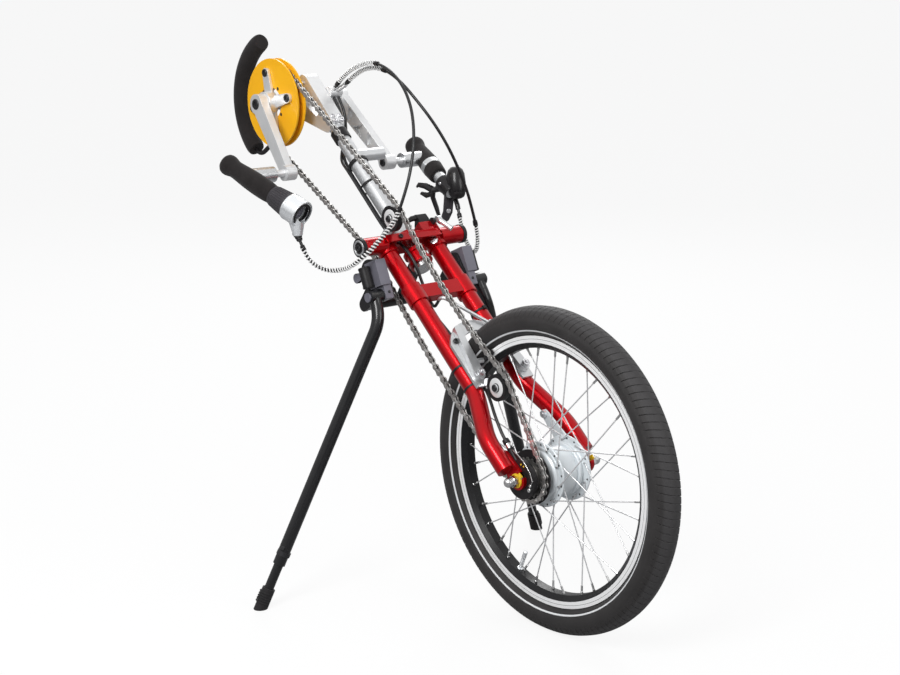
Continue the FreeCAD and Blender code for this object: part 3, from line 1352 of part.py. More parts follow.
def main():
    os.makedirs("parts", exist_ok=True)

    export("tyre", make_tyre())
    export("rim", make_rim())
    export("hub_shell", make_hub_shell())
    export("spokes", *make_spokes())

    half_gap = dropout_gap / 2
    near_end = -half_gap - dropout_thickness - axle_overhang
    export("wheel_axle", cylinder((near_end, 0, axle_height), (-near_end, 0, axle_height), axle_radius))
    export("sprocket", make_sprocket())

    export("chain", *make_chain())
    export("idler_rollers", make_idler(front_idler_b, front_idler_s), make_idler(low_idler_b, low_idler_s),
           make_idler(back_idler_b, back_idler_s))

    leg = make_fork_leg()
    export("fork_legs", in_part(leg), in_part(mirror_x(leg)))
    export("lower_crown", make_lower_crown())
    export("upper_crown", make_upper_crown())
    export("crown_caps", *make_crown_caps())
    export("steerer", make_steerer())
    export("boom", make_boom())
    export("crank_head", make_crank_head())

    export("crank_axle", make_crank_axle())
    export("handle_pins", make_handle_pin(-1), make_handle_pin(1))
    for side, name in ((-1, "right"), (1, "left")):
        export("crank_arm_" + name, make_crank_arm(side))
        export("handle_bar_" + name, make_handle_bar(side))
        export("handle_foam_" + name, make_handle_foam(side))
    export("guard_discs", guard_disc(chain_x - disc_gap / 2 - disc_thickness / 2),
           guard_disc(chain_x + disc_gap / 2 + disc_thickness / 2))
    export("spider", make_spider())
    export("chainring", make_chainring())
    twist, housing = make_twist_shifter()
    export("shifter_twist_ring", twist)
    export("shifter_housing", housing)
    export("brake_lever", make_brake_lever())

    export("guard_foam", make_guard_foam())
    export("guard_rod", make_guard_rod())
    export("cable_clamp", make_cable_clamp())
    export("shift_cable", make_cord(shift_cable_route))
    export("brake_cable", make_cord(brake_cable_route))
    export("idler_brackets", *make_idler_brackets())
    export("perforated_strip", make_perforated_strip())
    export("held_cables", *[in_part(make_cord(route, held_bend_cap)) for route in (held_shift_route,
                                                                                  held_brake_route)])
    export("brake_plate", make_brake_plate())
    export("brake_arms", *make_brake_arms(), make_noodle())
    export("brake_pads", *make_brake_pads())
    export("axle_washers", *make_axle_washers())
    export("axle_nuts", *make_axle_nuts())
    export("gear_joint_ring", make_joint_ring())
    export("sprocket_disc", make_sprocket_disc())
    export("reaction_arm", make_reaction_arm())
    export("boom_rings", *make_boom_rings())
    export("lock_cam", make_lock_cam())
    export("lock_lever", make_lock_lever())

    export("head_tube", make_head_tube())
    export("dock_frame", make_dock_frame())
    docks = [make_dock(side) for side in (-1, 1)]
    for index, name in enumerate(("dock_blocks_upper", "dock_blocks_lower", "docking_tubes", "dock_levers")):
        export(name, docks[0][index], docks[1][index])

    for side, name in ((-1, "right"), (1, "left")):
        export("stand_leg_" + name, mirrored(side, make_leg()))
        export("stand_inner_" + name, mirrored(side, make_leg_inner()))
        export("stand_tip_" + name, mirrored(side, make_leg_tip()))


main()
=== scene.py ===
from math import cos, degrees, pi, radians, sin

import bmesh
import bpy
import numpy as np
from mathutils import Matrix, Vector


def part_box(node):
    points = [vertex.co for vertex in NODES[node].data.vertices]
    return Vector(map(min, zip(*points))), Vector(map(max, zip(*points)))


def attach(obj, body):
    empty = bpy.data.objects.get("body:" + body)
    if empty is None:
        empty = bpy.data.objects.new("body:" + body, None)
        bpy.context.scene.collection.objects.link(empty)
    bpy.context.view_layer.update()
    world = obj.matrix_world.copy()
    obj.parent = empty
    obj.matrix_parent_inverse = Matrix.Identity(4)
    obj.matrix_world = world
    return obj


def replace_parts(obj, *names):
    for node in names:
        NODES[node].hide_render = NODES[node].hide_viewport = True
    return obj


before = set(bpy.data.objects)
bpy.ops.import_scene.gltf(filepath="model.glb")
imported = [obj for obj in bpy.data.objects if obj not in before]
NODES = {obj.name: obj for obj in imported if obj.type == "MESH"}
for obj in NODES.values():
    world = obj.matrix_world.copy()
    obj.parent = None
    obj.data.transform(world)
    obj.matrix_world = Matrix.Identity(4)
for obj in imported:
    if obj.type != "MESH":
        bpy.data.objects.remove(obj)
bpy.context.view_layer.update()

# Frames of the object, in millimetres: the fork's tilted frame, the cranks and the docks
TILT = radians(48.8)
WHEEL_R = 254
AXLE = Vector((0, 0, WHEEL_R / 1000))
E_X = Vector((1, 0, 0))
E_B = Vector((0, cos(TILT), -sin(TILT)))
E_S = Vector((0, sin(TILT), cos(TILT)))
CRANK_B, CRANK_S = 38.5, 820
CRANK_LENGTH = 150
CRANK_TURN = radians(43.5)
DOCK_LEAN = radians(24)
HANDLE_AXIS = Vector((0.218, 0.889, 0.395)).normalized()
CHAIN_X = -50
ROLLERS = ((-50, 477), (-49, 135), (57.5, 456))
CROWN_CAP = (-8, 459)


def fork(x, b, s):
    """A point of the fork's frame in metres."""
    return (Vector((0, 0, WHEEL_R)) + E_X * x + E_B * b + E_S * s) / 1000


CRANK_CENTRE = fork(0, CRANK_B, CRANK_S) * 1000


def crank(x, along, across=0):
    """A point by its distance along the crank arm."""
    y = CRANK_CENTRE.y - along * cos(CRANK_TURN) + across * sin(CRANK_TURN)
    z = CRANK_CENTRE.z - along * sin(CRANK_TURN) - across * cos(CRANK_TURN)
    return Vector((x, y, z)) / 1000


def handle(side, along):
    """A point on a handle's bar."""
    at = crank(0, CRANK_LENGTH) * 1000
    return Vector((side * (186 + HANDLE_AXIS.x * along), at.y + HANDLE_AXIS.y * along,
                   at.z + HANDLE_AXIS.z * along)) / 1000


def handle_dir(side):
    return Vector((side * HANDLE_AXIS.x, HANDLE_AXIS.y, HANDLE_AXIS.z)).normalized()


def dock(x, across, down):
    """A point of a dock by its place across and down from the dock's top."""
    y = 322 + across * cos(DOCK_LEAN) - down * sin(DOCK_LEAN)
    z = 542 - across * sin(DOCK_LEAN) - down * cos(DOCK_LEAN)
    return Vector((x, y, z)) / 1000


# Shader nodes

def node(nt, kind, inputs, **settings):
    """A new node, with each input set to a value or linked to another node's socket."""
    made = nt.nodes.new(kind)
    for key, value in settings.items():
        setattr(made, key, value)
    for key, value in inputs.items():
        if isinstance(value, bpy.types.NodeSocket):
            nt.links.new(value, made.inputs[key])
        else:
            made.inputs[key].default_value = value
    return made


def shader(nt, kind, inputs, **settings):
    """The first output of a new shader node."""
    return node(nt, "ShaderNode" + kind, inputs, **settings).outputs[0]


def noise(nt, coord, scale, detail, rough=0.55):
    return shader(nt, "TexNoise", {"Vector": coord, "Scale": scale, "Detail": detail, "Roughness": rough})


def map_range(nt, value, low, high, out_low, out_high):
    inputs = {"Value": value, "From Min": low, "From Max": high, "To Min": out_low, "To Max": out_high}
    return shader(nt, "MapRange", inputs)


def math_node(nt, operation, *values):
    return shader(nt, "Math", dict(enumerate(values)), operation=operation)


def times(nt, first, second):
    return math_node(nt, "MULTIPLY", first, second)


def mix_colour(nt, share, first, second):
    first, second = ((*c, 1) if isinstance(c, tuple) else c for c in (first, second))
    return node(nt, "ShaderNodeMix", {0: share, 6: first, 7: second}, data_type="RGBA").outputs[2]


# Camera, floor, world and lamps

def new_object(name, data):
    obj = bpy.data.objects.new(name, data)
    bpy.context.scene.collection.objects.link(obj)
    return obj


def make_camera():
    data = bpy.data.cameras.new("camera")
    cam = new_object("camera", data)
    data.lens = 71.77
    data.sensor_width = 36
    data.clip_start, data.clip_end = 0.05, 400
    cam.location = (-1.7978, -1.8931, 1.0725)
    cam.rotation_euler = (radians(90 - 13.18), 0, radians(-40.09))
    bpy.context.scene.camera = cam


def make_world():
    """White to the camera, with a soft sky for surfaces and a sharper one for reflections."""
    world = bpy.data.worlds.new("world")
    bpy.context.scene.world = world
    world.use_nodes = True
    nt = world.node_tree
    nt.nodes.clear()
    path = nt.nodes.new("ShaderNodeLightPath").outputs
    coord = nt.nodes.new("ShaderNodeTexCoord")
    split = node(nt, "ShaderNodeSeparateXYZ", {0: coord.outputs["Generated"]})
    height = math_node(nt, "MULTIPLY_ADD", split.outputs["Z"], 0.5, 0.5)

    def sky(low, dark, high, light, strength):
        ramp = node(nt, "ShaderNodeValToRGB", {0: height})
        for stop, (place, colour) in zip(ramp.color_ramp.elements, ((low, dark), (high, light))):
            stop.position = place
            stop.color = (*colour, 1)
        return shader(nt, "Background", {0: ramp.outputs[0], 1: strength})

    soft = sky(0.48, (0.2, 0.205, 0.215), 0.95, (0.97, 0.98, 1), 0.6)
    shine = sky(0.4, (0.1, 0.1, 0.105), 0.74, (1, 1, 1), 1)
    white = shader(nt, "Background", {0: (1, 1, 1, 1)})
    light = shader(nt, "MixShader", {0: path["Is Glossy Ray"], 1: soft, 2: shine})
    seen = shader(nt, "MixShader", {0: path["Is Camera Ray"], 1: light, 2: white})
    node(nt, "ShaderNodeOutputWorld", {0: seen})


def make_floor():
    """A floor that the camera sees near white and that throws less light back up."""
    mesh = bpy.data.meshes.new("floor")
    reach = 90
    corners = [(-reach, -reach, 0), (reach, -reach, 0), (reach, reach, 0), (-reach, reach, 0)]
    mesh.from_pydata(corners, [], [(0, 1, 2, 3)])
    floor = new_object("floor", mesh)
    floor.location.z = -0.0006
    mat = bpy.data.materials.new("floor")
    mat.use_nodes = True
    nt = mat.node_tree
    nt.nodes.clear()
    seen = nt.nodes.new("ShaderNodeLightPath").outputs["Is Camera Ray"]
    colour = mix_colour(nt, seen, (0.34, 0.34, 0.345), (0.88, 0.88, 0.88))
    diffuse = shader(nt, "BsdfDiffuse", {0: colour})
    glow = shader(nt, "Emission", {0: (1, 1, 1, 1)})
    both = shader(nt, "MixShader", {0: times(nt, seen, 0.88), 1: diffuse, 2: glow})
    node(nt, "ShaderNodeOutputMaterial", {0: both})
    mesh.materials.append(mat)


def make_lamp(name, place, aim, size, power):
    data = bpy.data.lights.new(name, "AREA")
    data.shape = "RECTANGLE"
    data.size, data.size_y = size
    data.energy = power
    obj = new_object(name, data)
    obj.location = place
    obj.rotation_euler = (Vector(aim) - Vector(place)).to_track_quat("-Z", "Y").to_euler()


def make_stage():
    bpy.context.scene.view_settings.view_transform = "Standard"
    make_world()
    make_floor()
    make_lamp("key", (-2.6, -0.9, 2.6), (0, 0.3, 0.45), (1.3, 1.7), 98)
    make_lamp("fill", (0.9, -2.9, 1.5), (0, 0.3, 0.4), (1.5, 1.5), 24)
    make_lamp("rim", (1.8, 2.2, 2.2), (0, 0.3, 0.5), (1.2, 1.6), 32)


# Materials

def shade(colour, factor):
    return tuple(min(1, c * factor) for c in colour)


def surface(name, colour, rough, metal=0, vary=0.2, patch=22, grain=2000, bump=0.05, depth=0.00012, coat=0,
            coat_rough=0.08, edge=None, bevel=0.0005, sheen=0, rough_span=0.06, tint=None, specular=0.5,
            stretch=None, coat_index=1.5):
    """A finish with slow colour changes, fine grain in gloss and relief, and soft, worn edges."""
    mat = bpy.data.materials.new(name)
    mat.use_nodes = True
    nt = mat.node_tree
    bsdf = nt.nodes["Principled BSDF"].inputs
    coord = nt.nodes.new("ShaderNodeTexCoord").outputs["Object"]
    fine = coord
    if stretch:
        fine = shader(nt, "Mapping", {"Vector": coord, "Scale": stretch})
    slow = noise(nt, coord, patch, 4)
    dust = noise(nt, coord, patch * 9, 5, 0.7)
    small = noise(nt, fine, grain, 2, 0.5)
    slow = map_range(nt, slow, 0.3, 0.7, 0, 1)
    base = mix_colour(nt, slow, shade(colour, 1 - vary), shade(colour, 1 + vary))
    dusty = map_range(nt, dust, 0.55, 0.8, 0, 0.35)
    base = mix_colour(nt, dusty, base, tint or shade(colour, 1 + 2 * vary))
    soft = shader(nt, "Bevel", {"Radius": bevel}, samples=4)
    if edge:
        normal = nt.nodes.new("ShaderNodeNewGeometry").outputs["Normal"]
        dot = node(nt, "ShaderNodeVectorMath", {0: soft, 1: normal}, operation="DOT_PRODUCT")
        wear = map_range(nt, dot.outputs["Value"], 0.985, 0.86, 0, 1)
        broken = map_range(nt, noise(nt, coord, 160, 4, 0.7), 0.45, 0.62, 0, 1)
        base = mix_colour(nt, times(nt, wear, broken), base, edge)
    nt.links.new(base, bsdf["Base Color"])
    gloss = math_node(nt, "ADD", map_range(nt, small, 0.3, 0.7, -rough_span, rough_span),
                      map_range(nt, dust, 0.3, 0.8, rough - 0.02, rough + rough_span))
    nt.links.new(gloss, bsdf["Roughness"])
    constants = {"Metallic": metal, "Coat Weight": coat, "Coat Roughness": coat_rough, "Coat IOR": coat_index,
                 "Sheen Weight": sheen, "Specular IOR Level": specular}
    for key, value in constants.items():
        bsdf[key].default_value = value
    relief = shader(nt, "Bump", {"Strength": bump, "Distance": depth, "Height": small, "Normal": soft})
    nt.links.new(relief, bsdf["Normal"])
    return mat


def lay_over(nt, bsdf, share, colour):
    """Mixes a colour over a finish's base colour by a share."""
    old = bsdf["Base Color"].links[0].from_socket
    nt.links.new(mix_colour(nt, share, old, colour), bsdf["Base Color"])


def wheel_coords(nt):
    """The distance from the wheel's axis and the place along it, in metres."""
    coord = nt.nodes.new("ShaderNodeTexCoord").outputs["Object"]
    split = node(nt, "ShaderNodeSeparateXYZ", {0: coord}).outputs
    z = math_node(nt, "SUBTRACT", split["Z"], WHEEL_R / 1000)
    square = math_node(nt, "ADD", times(nt, split["Y"], split["Y"]), times(nt, z, z))
    return math_node(nt, "SQRT", square), split["X"]


def band(nt, value, low, high, soft=0.00025):
    """1 inside a range of values and 0 outside."""
    return times(nt, map_range(nt, value, low - soft, low + soft, 0, 1),
                 map_range(nt, value, high - soft, high + soft, 1, 0))


def rim_material():
    """Black paint with bare brake tracks, each with a wear groove and turned lines."""
    mat = surface("rim_black", (0.008, 0.008, 0.009), 0.3, specular=0.25, grain=2500, bump=0.03,
                  edge=(0.12, 0.12, 0.12), vary=0.12)
    nt = mat.node_tree
    bsdf = nt.nodes["Principled BSDF"].inputs
    radius, x = wheel_coords(nt)
    side = map_range(nt, math_node(nt, "ABSOLUTE", x), 0.0131, 0.0134, 0, 1)
    track = times(nt, side, band(nt, radius, 0.1992, 0.2112))
    groove = band(nt, radius, 0.2045, 0.205, 0.0001)
    wave = math_node(nt, "SINE", times(nt, radius, 26000))
    lines = map_range(nt, wave, -1, 1, 0.9, 0.96)
    bare = shader(nt, "CombineXYZ", {0: lines, 1: lines, 2: lines})
    lay_over(nt, bsdf, track, mix_colour(nt, groove, bare, (0.05, 0.05, 0.05)))
    nt.links.new(times(nt, track, 0.15), bsdf["Metallic"])
    return mat


def tyre_material():
    """Black rubber, a little paler where it runs, with a pale stripe on each side."""
    mat = surface("tyre_rubber", (0.028, 0.026, 0.026), 0.62, grain=2600, bump=0.25, depth=0.0002,
                  sheen=0.05, specular=0.28, rough_span=0.08, bevel=0.0003)
    nt = mat.node_tree
    bsdf = nt.nodes["Principled BSDF"].inputs
    radius, _ = wheel_coords(nt)
    stripe = band(nt, radius, 0.2172, 0.2196, 0.00015)
    lay_over(nt, bsdf, band(nt, radius, 0.2465, 0.2545, 0.002), (0.046, 0.044, 0.045))
    lay_over(nt, bsdf, stripe, (0.74, 0.75, 0.76))
    rough = bsdf["Roughness"].links[0].from_socket
    nt.links.new(math_node(nt, "SUBTRACT", rough, times(nt, stripe, 0.25)), bsdf["Roughness"])
    return mat


def foam_material():
    """Soft dark foam whose relief has small cells."""
    mat = surface("foam_skin", (0.019, 0.0165, 0.0165), 0.86, vary=0.18, patch=60, grain=1400, bump=0.35,
                  depth=0.0003, sheen=0.12, specular=0.15, bevel=0.0008)
    nt = mat.node_tree
    coord = [n for n in nt.nodes if n.type == "TEX_COORD"][0].outputs["Object"]
    cells = shader(nt, "TexVoronoi", {"Vector": coord, "Scale": 900})
    height = [n for n in nt.nodes if n.type == "BUMP"][0].inputs["Height"]
    small = height.links[0].from_socket
    nt.links.new(math_node(nt, "ADD", small, cells), height)
    return mat


def make_materials():
    made = {"foam": foam_material(), "tyre": tyre_material(), "rim": rim_material()}

    def add(key, *values, **more):
        made[key] = surface(*values, **more)

    add("red", "red_paint", (0.44, 0.001, 0.005), 0.31, 0.6, vary=0.05, grain=3500, bump=0.03, coat=1,
        coat_index=1.28, coat_rough=0.03, bevel=0.0008, rough_span=0.03, specular=0.03)
    add("silver", "satin_alloy", (0.64, 0.65, 0.66), 0.34, 0.8, vary=0.05, grain=2600, bump=0.06,
        edge=(0.85, 0.85, 0.86), bevel=0.0006)
    add("crank", "forged_alloy", (0.78, 0.785, 0.79), 0.4, 0.55, vary=0.05, grain=1500, bump=0.1,
        edge=(0.86, 0.86, 0.87), bevel=0.001)
    add("turned", "turned_alloy", (0.62, 0.63, 0.64), 0.26, 1, vary=0.04, grain=900, stretch=(40, 1, 1))
    add("hub", "hub_silver", (0.74, 0.785, 0.81), 0.38, 0.12, vary=0.04, grain=2400, coat=0.3, bevel=0.0006,
        edge=(0.72, 0.75, 0.78))
    add("steel", "bright_steel", (0.62, 0.62, 0.62), 0.22, 1, vary=0.06, bump=0.04)
    add("bolt", "zinc_bolt", (0.66, 0.66, 0.68), 0.28, 1, vary=0.08)
    add("darkbolt", "black_bolt", (0.02, 0.02, 0.022), 0.35, 0.3, edge=(0.12, 0.12, 0.12))
    add("spoke", "spoke_wire", (0.74, 0.74, 0.75), 0.26, 0.55, vary=0.05, grain=3000, bump=0.02,
        bevel=0.0001)
    add("chain", "chain_steel", (0.42, 0.4, 0.385), 0.3, 0.85, vary=0.3, patch=260, grain=2600, bump=0.12,
        tint=(0.12, 0.105, 0.095), bevel=0.0002, rough_span=0.12, edge=(0.8, 0.79, 0.78))
    add("chainbright", "chain_inner", (0.74, 0.73, 0.71), 0.26, 0.8, vary=0.15, patch=260, grain=2600,
        bevel=0.0002, rough_span=0.1, bump=0.08)
    add("tooth", "tooth_steel", (0.26, 0.25, 0.24), 0.38, 0.9, patch=60, bump=0.1, edge=(0.5, 0.5, 0.5))
    add("gold", "golden_plate", (1, 0.49, 0.012), 0.4, vary=0.03, grain=2400, coat=0.25, coat_index=1.35,
        specular=0.15, coat_rough=0.2, edge=(0.95, 0.6, 0.15))
    add("zinc", "yellow_zinc", (0.86, 0.55, 0.02), 0.4, 0.1, vary=0.08, grain=1800, bump=0.08)
    add("black", "black_plastic", (0.012, 0.011, 0.012), 0.44, grain=1500, bump=0.15,
        edge=(0.05, 0.05, 0.05), specular=0.28)
    add("blackmetal", "black_coat", (0.01, 0.009, 0.01), 0.3, grain=1200, bump=0.1, specular=0.2, coat=0.5,
        coat_index=1.4, coat_rough=0.14, edge=(0.08, 0.08, 0.08), bevel=0.0008)
    add("leg", "leg_black", (0.009, 0.009, 0.01), 0.26, grain=1300, specular=0.2, coat=0.7, coat_index=1.4,
        coat_rough=0.12, edge=(0.08, 0.08, 0.08), bump=0.08)
    add("rubber", "black_rubber", (0.015, 0.014, 0.015), 0.66, grain=1400, bump=0.25, sheen=0.08,
        specular=0.25)
    add("grip", "twist_rubber", (0.034, 0.031, 0.036), 0.6, grain=1600, bump=0.22, sheen=0.1, specular=0.3,
        vary=0.12)
    add("cable", "cable_sheath", (0.007, 0.007, 0.008), 0.36, vary=0.15, grain=1500, bevel=0.0002)
    add("pale", "sleeve_coil", (0.9, 0.9, 0.89), 0.34, vary=0.06, grain=1500, bevel=0.0001)
    add("grey", "grey_anodised", (0.165, 0.162, 0.195), 0.44, 0.15, vary=0.08, grain=2200, bump=0.1,
        edge=(0.3, 0.3, 0.32), bevel=0.0007)
    add("chrome", "bright_shell", (0.84, 0.86, 0.88), 0.22, 0.65, vary=0.05, grain=2200, bump=0.03, coat=0.5,
        bevel=0.0008)
    add("disc", "pale_disc", (0.8, 0.8, 0.8), 0.35, 0.2, vary=0.03, bump=0.04, grain=1800)
    add("roller", "roller_steel", (0.035, 0.032, 0.03), 0.36, 0.5, vary=0.3, bevel=0.0001)
    return made


# Mesh building

def turned(rings, origin, axis, seg, hexes=()):
    """Corners of rings of (distance along, radius) in mm, six sided where the index is in hexes."""
    axis = Vector(axis).normalized()
    side = axis.orthogonal().normalized()
    third = axis.cross(side)
    verts = []
    for index, (along, radius) in enumerate(rings):
        for k in range(seg):
            angle = 2 * pi * k / seg
            r = radius
            if index in hexes:
                local = (angle + pi / 6) % (pi / 3) - pi / 6
                r = radius / cos(local)
            verts.append(Vector(origin) + (axis * along + side * (r * cos(angle))
                                           + third * (r * sin(angle))) / 1000)
    return verts


def carried(points, normal):
    """For each point of a line, a normal carried along without twist and the direction across."""
    last = len(points) - 1
    for i in range(last + 1):
        tangent = (points[min(i + 1, last)] - points[max(i - 1, 0)]).normalized()
        normal = (normal - tangent * normal.dot(tangent)).normalized()
        yield normal, tangent.cross(normal)


class Build:
    """Collects vertices and faces of one piece and makes the object."""

    def __init__(self, name):
        self.name = name
        self.verts = []
        self.faces = []

    def add(self, verts, faces):
        start = len(self.verts)
        self.verts += [tuple(v) for v in verts]
        self.faces += [tuple(i + start for i in f) for f in faces]

    def skin(self, verts, seg, closed=False):
        """Faces over rings of corners, closed from last to first or capped."""
        count = len(verts) // seg
        faces = []
        for i in range(count if closed else count - 1):
            a, b = i * seg, (i + 1) % count * seg
            faces += [(a + k, a + (k + 1) % seg, b + (k + 1) % seg, b + k) for k in range(seg)]
        if not closed:
            faces += [tuple(reversed(range(seg))), tuple(range((count - 1) * seg, count * seg))]
        self.add(verts, faces)

    def lathe(self, rings, origin, axis, seg=28, hexes=()):
        """A capped solid turned about an axis."""
        self.skin(turned(rings, origin, axis, seg, hexes), seg)

    def ring(self, rings, origin, axis, seg=48):
        """A closed section turned about an axis."""
        self.skin(turned(rings, origin, axis, seg), seg, closed=True)

    def tube(self, points, radii, seg=12, flat=1, hint=None):
        """A bar along points in metres with a radius, or one radius for each point, in mm."""
        points = [Vector(p) for p in points]
        if isinstance(radii, (int, float)):
            radii = [radii] * len(points)
        first = (points[1] - points[0]).normalized()
        normal = Vector(hint) if hint else first.orthogonal()
        normal = (normal - first * normal.dot(first)).normalized()
        verts = []
        for point, radius, (normal, across) in zip(points, radii, carried(points, normal)):
            for k in range(seg):
                angle = 2 * pi * k / seg
                verts.append(point + (normal * (radius * cos(angle))
                                      + across * (radius * flat * sin(angle))) / 1000)
        self.skin(verts, seg)

    def slab(self, outline, direction):
        """A closed outline of points in metres pushed along a direction in metres."""
        count = len(outline)
        direction = Vector(direction)
        verts = [Vector(p) for p in outline] + [Vector(p) + direction for p in outline]
        faces = [tuple(reversed(range(count))), tuple(range(count, 2 * count))]
        faces += [(i, (i + 1) % count, count + (i + 1) % count, count + i) for i in range(count)]
        self.add(verts, faces)

    def screw(self, origin, axis, head, height, socket):
        """A socket head screw that rises along the axis from its seat, in mm."""
        self.lathe([(-0.2, head), (height - 0.5, head), (height, head - 0.5), (height, socket),
                    (height * 0.45, socket)], origin, axis, 24, hexes=(3, 4))

    def cap_screw(self, origin, axis, head, height, chamfer, socket, floor, seg, low=-0.2):
        """A wide screw head with a chamfered rim and a deep socket, in mm."""
        self.lathe([(low, head), (height - chamfer, head), (height, head - chamfer), (height, socket),
                    (floor, socket - 0.2)], origin, axis, seg, hexes=(3, 4))

    def nut(self, origin, axis, across, height, bolt):
        """A hexagon nut with the end of its bolt."""
        self.lathe([(-0.2, across), (height - 0.4, across), (height, across - 0.5), (height, bolt + 0.4),
                    (height - 0.6, bolt), (height + 1.6, bolt), (height + 2, bolt - 0.5)],
                   origin, axis, 24, hexes=(0, 1))

    def make(self, material, body, slot, sharp=35):
        """The object, smooth up to an angle in degrees, on its body; the slot argument is not used."""
        mesh = bpy.data.meshes.new(self.name)
        mesh.from_pydata(self.verts, [], self.faces)
        mesh.validate()
        bm = bmesh.new()
        bm.from_mesh(mesh)
        bmesh.ops.recalc_face_normals(bm, faces=bm.faces)
        bm.to_mesh(mesh)
        bm.free()
        mesh.shade_smooth()
        mesh.set_sharp_from_angle(angle=radians(sharp))
        mesh.materials.append(M[material])
        obj = new_object(self.name, mesh)
        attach(obj, body)
        return obj


def islands(name):
    """The separate solids of a CAD node, each as an array of corner points in metres."""
    mesh = NODES[name].data
    co = np.array([v.co for v in mesh.vertices], float)
    keys = {}
    index = [keys.setdefault(tuple(point), len(keys)) for point in np.round(co * 1e6).astype(int)]
    parent = list(range(len(keys)))

    def find(i):
        while parent[i] != i:
            parent[i] = parent[parent[i]]
            i = parent[i]
        return i

    for polygon in mesh.polygons:
        first = find(index[polygon.vertices[0]])
        for v in polygon.vertices[1:]:
            parent[find(index[v])] = first
    groups = {}
    for i, key in enumerate(index):
        groups.setdefault(find(key), []).append(co[i])
    return [np.array(points) for points in groups.values()]


def smooth_by_angle():
    """A modifier group that welds a CAD mesh and smooths it up to 32 degrees."""
    group = bpy.data.node_groups.new("smooth_by_angle", "GeometryNodeTree")
    for way in ("INPUT", "OUTPUT"):
        group.interface.new_socket("Geometry", in_out=way, socket_type="NodeSocketGeometry")
    start = group.nodes.new("NodeGroupInput").outputs[0]
    weld = node(group, "GeometryNodeMergeByDistance", {"Geometry": start, "Distance": 1e-6}).outputs[0]
    faces = node(group, "GeometryNodeSetShadeSmooth", {"Geometry": weld}, domain="FACE").outputs[0]
    angle = group.nodes.new("GeometryNodeInputMeshEdgeAngle").outputs["Unsigned Angle"]
    bent = node(group, "FunctionNodeCompare", {"A": angle, "B": radians(32)}, operation="GREATER_THAN")
    edges = {"Geometry": faces, "Selection": bent.outputs[0], "Shade Smooth": False}
    edges = node(group, "GeometryNodeSetShadeSmooth", edges, domain="EDGE")
    node(group, "NodeGroupOutput", {0: edges.outputs[0]})
    return group


# Which CAD nodes take each finish
FINISH_NODES = {
    "tyre": "tyre",
    "rim": "rim",
    "hub": "hub_shell reaction_arm",
    "spoke": "spokes",
    "steel": "wheel_axle axle_nuts steerer crank_axle",
    "zinc": "axle_washers",
    "tooth": "sprocket chainring",
    "chain": "chain",
    "black": "idler_rollers crown_caps boom_rings docking_tubes dock_levers gear_joint_ring "
             "sprocket_disc lock_cam",
    "silver": "idler_brackets perforated_strip boom brake_plate brake_arms lock_lever",
    "red": "fork_legs lower_crown upper_crown head_tube",
    "crank": "crank_head crank_arm_left crank_arm_right handle_pins spider cable_clamp",
    "gold": "guard_discs",
    "turned": "handle_bar_left handle_bar_right",
    "foam": "handle_foam_left handle_foam_right guard_foam",
    "grip": "shifter_twist_ring",
    "chrome": "shifter_housing",
    "blackmetal": "brake_lever guard_rod dock_frame",
    "grey": "dock_blocks_upper dock_blocks_lower",
    "leg": "stand_leg_left stand_leg_right stand_inner_left stand_inner_right",
    "rubber": "stand_tip_left stand_tip_right brake_pads",
    "cable": "shift_cable brake_cable held_cables",
}


def dress_nodes():
    group = smooth_by_angle()
    finish_of = {name: finish for finish, names in FINISH_NODES.items() for name in names.split()}
    for name, obj in NODES.items():
        obj.data.materials.clear()
        obj.data.materials.append(M[finish_of[name]])
        modifier = obj.modifiers.new("smooth_by_angle", "NODES")
        modifier.node_group = group


# Wheel

TREAD_BLOCKS = 134
BLOCK_COLUMNS = (0, 0.07, 0.3, 0.54, 0.78, 0.93)
TYRE_HALF, TYRE_DEPTH = 25, 47
TYRE_MIDDLE = WHEEL_R - TYRE_DEPTH / 2
TREAD_SPAN = 52
TREAD_STEP = (180 + 2 * TREAD_SPAN) / 44


def tread_drop(from_top, in_groove):
    """How far the tread lies under its outer line, by the degrees from the tyre's top."""
    drop = 0
    if in_groove and from_top < 74:
        drop = 0.5 if from_top <= 12 else 1.4 if from_top < 66 else 0.6
    row = round(from_top / TREAD_STEP)
    if row in (2, 5, 8, 11) and from_top < 74:
        drop = max(drop, 0.55)
    if 100 < from_top < 140 and row % 3 == 0:
        drop = max(drop, 0.15)
    return drop


def tyre_section():
    """The tyre's closed section as (x, radius, angle), with an angle only on the outer line."""
    bead_x, bead_r, hook_r = 11.1, 206, 210.3
    wall, lip = 4, 3
    points = [(bead_x, bead_r, None), (bead_x, hook_r, None)]
    for i in range(45):
        angle = radians(-TREAD_SPAN + i * (180 + 2 * TREAD_SPAN) / 44)
        points.append((TYRE_HALF * cos(angle), TYRE_MIDDLE + TYRE_DEPTH / 2 * sin(angle), angle))
    points += [(-bead_x, hook_r, None), (-bead_x, bead_r, None), (-bead_x + lip, bead_r, None)]
    for i in range(9):
        angle = radians(180 + 42 - i * (180 + 2 * 42) / 8)
        points.append(((TYRE_HALF - wall) * cos(angle),
                       TYRE_MIDDLE + (TYRE_DEPTH / 2 - wall) * sin(angle), None))
    return points + [(bead_x - lip, bead_r, None)]


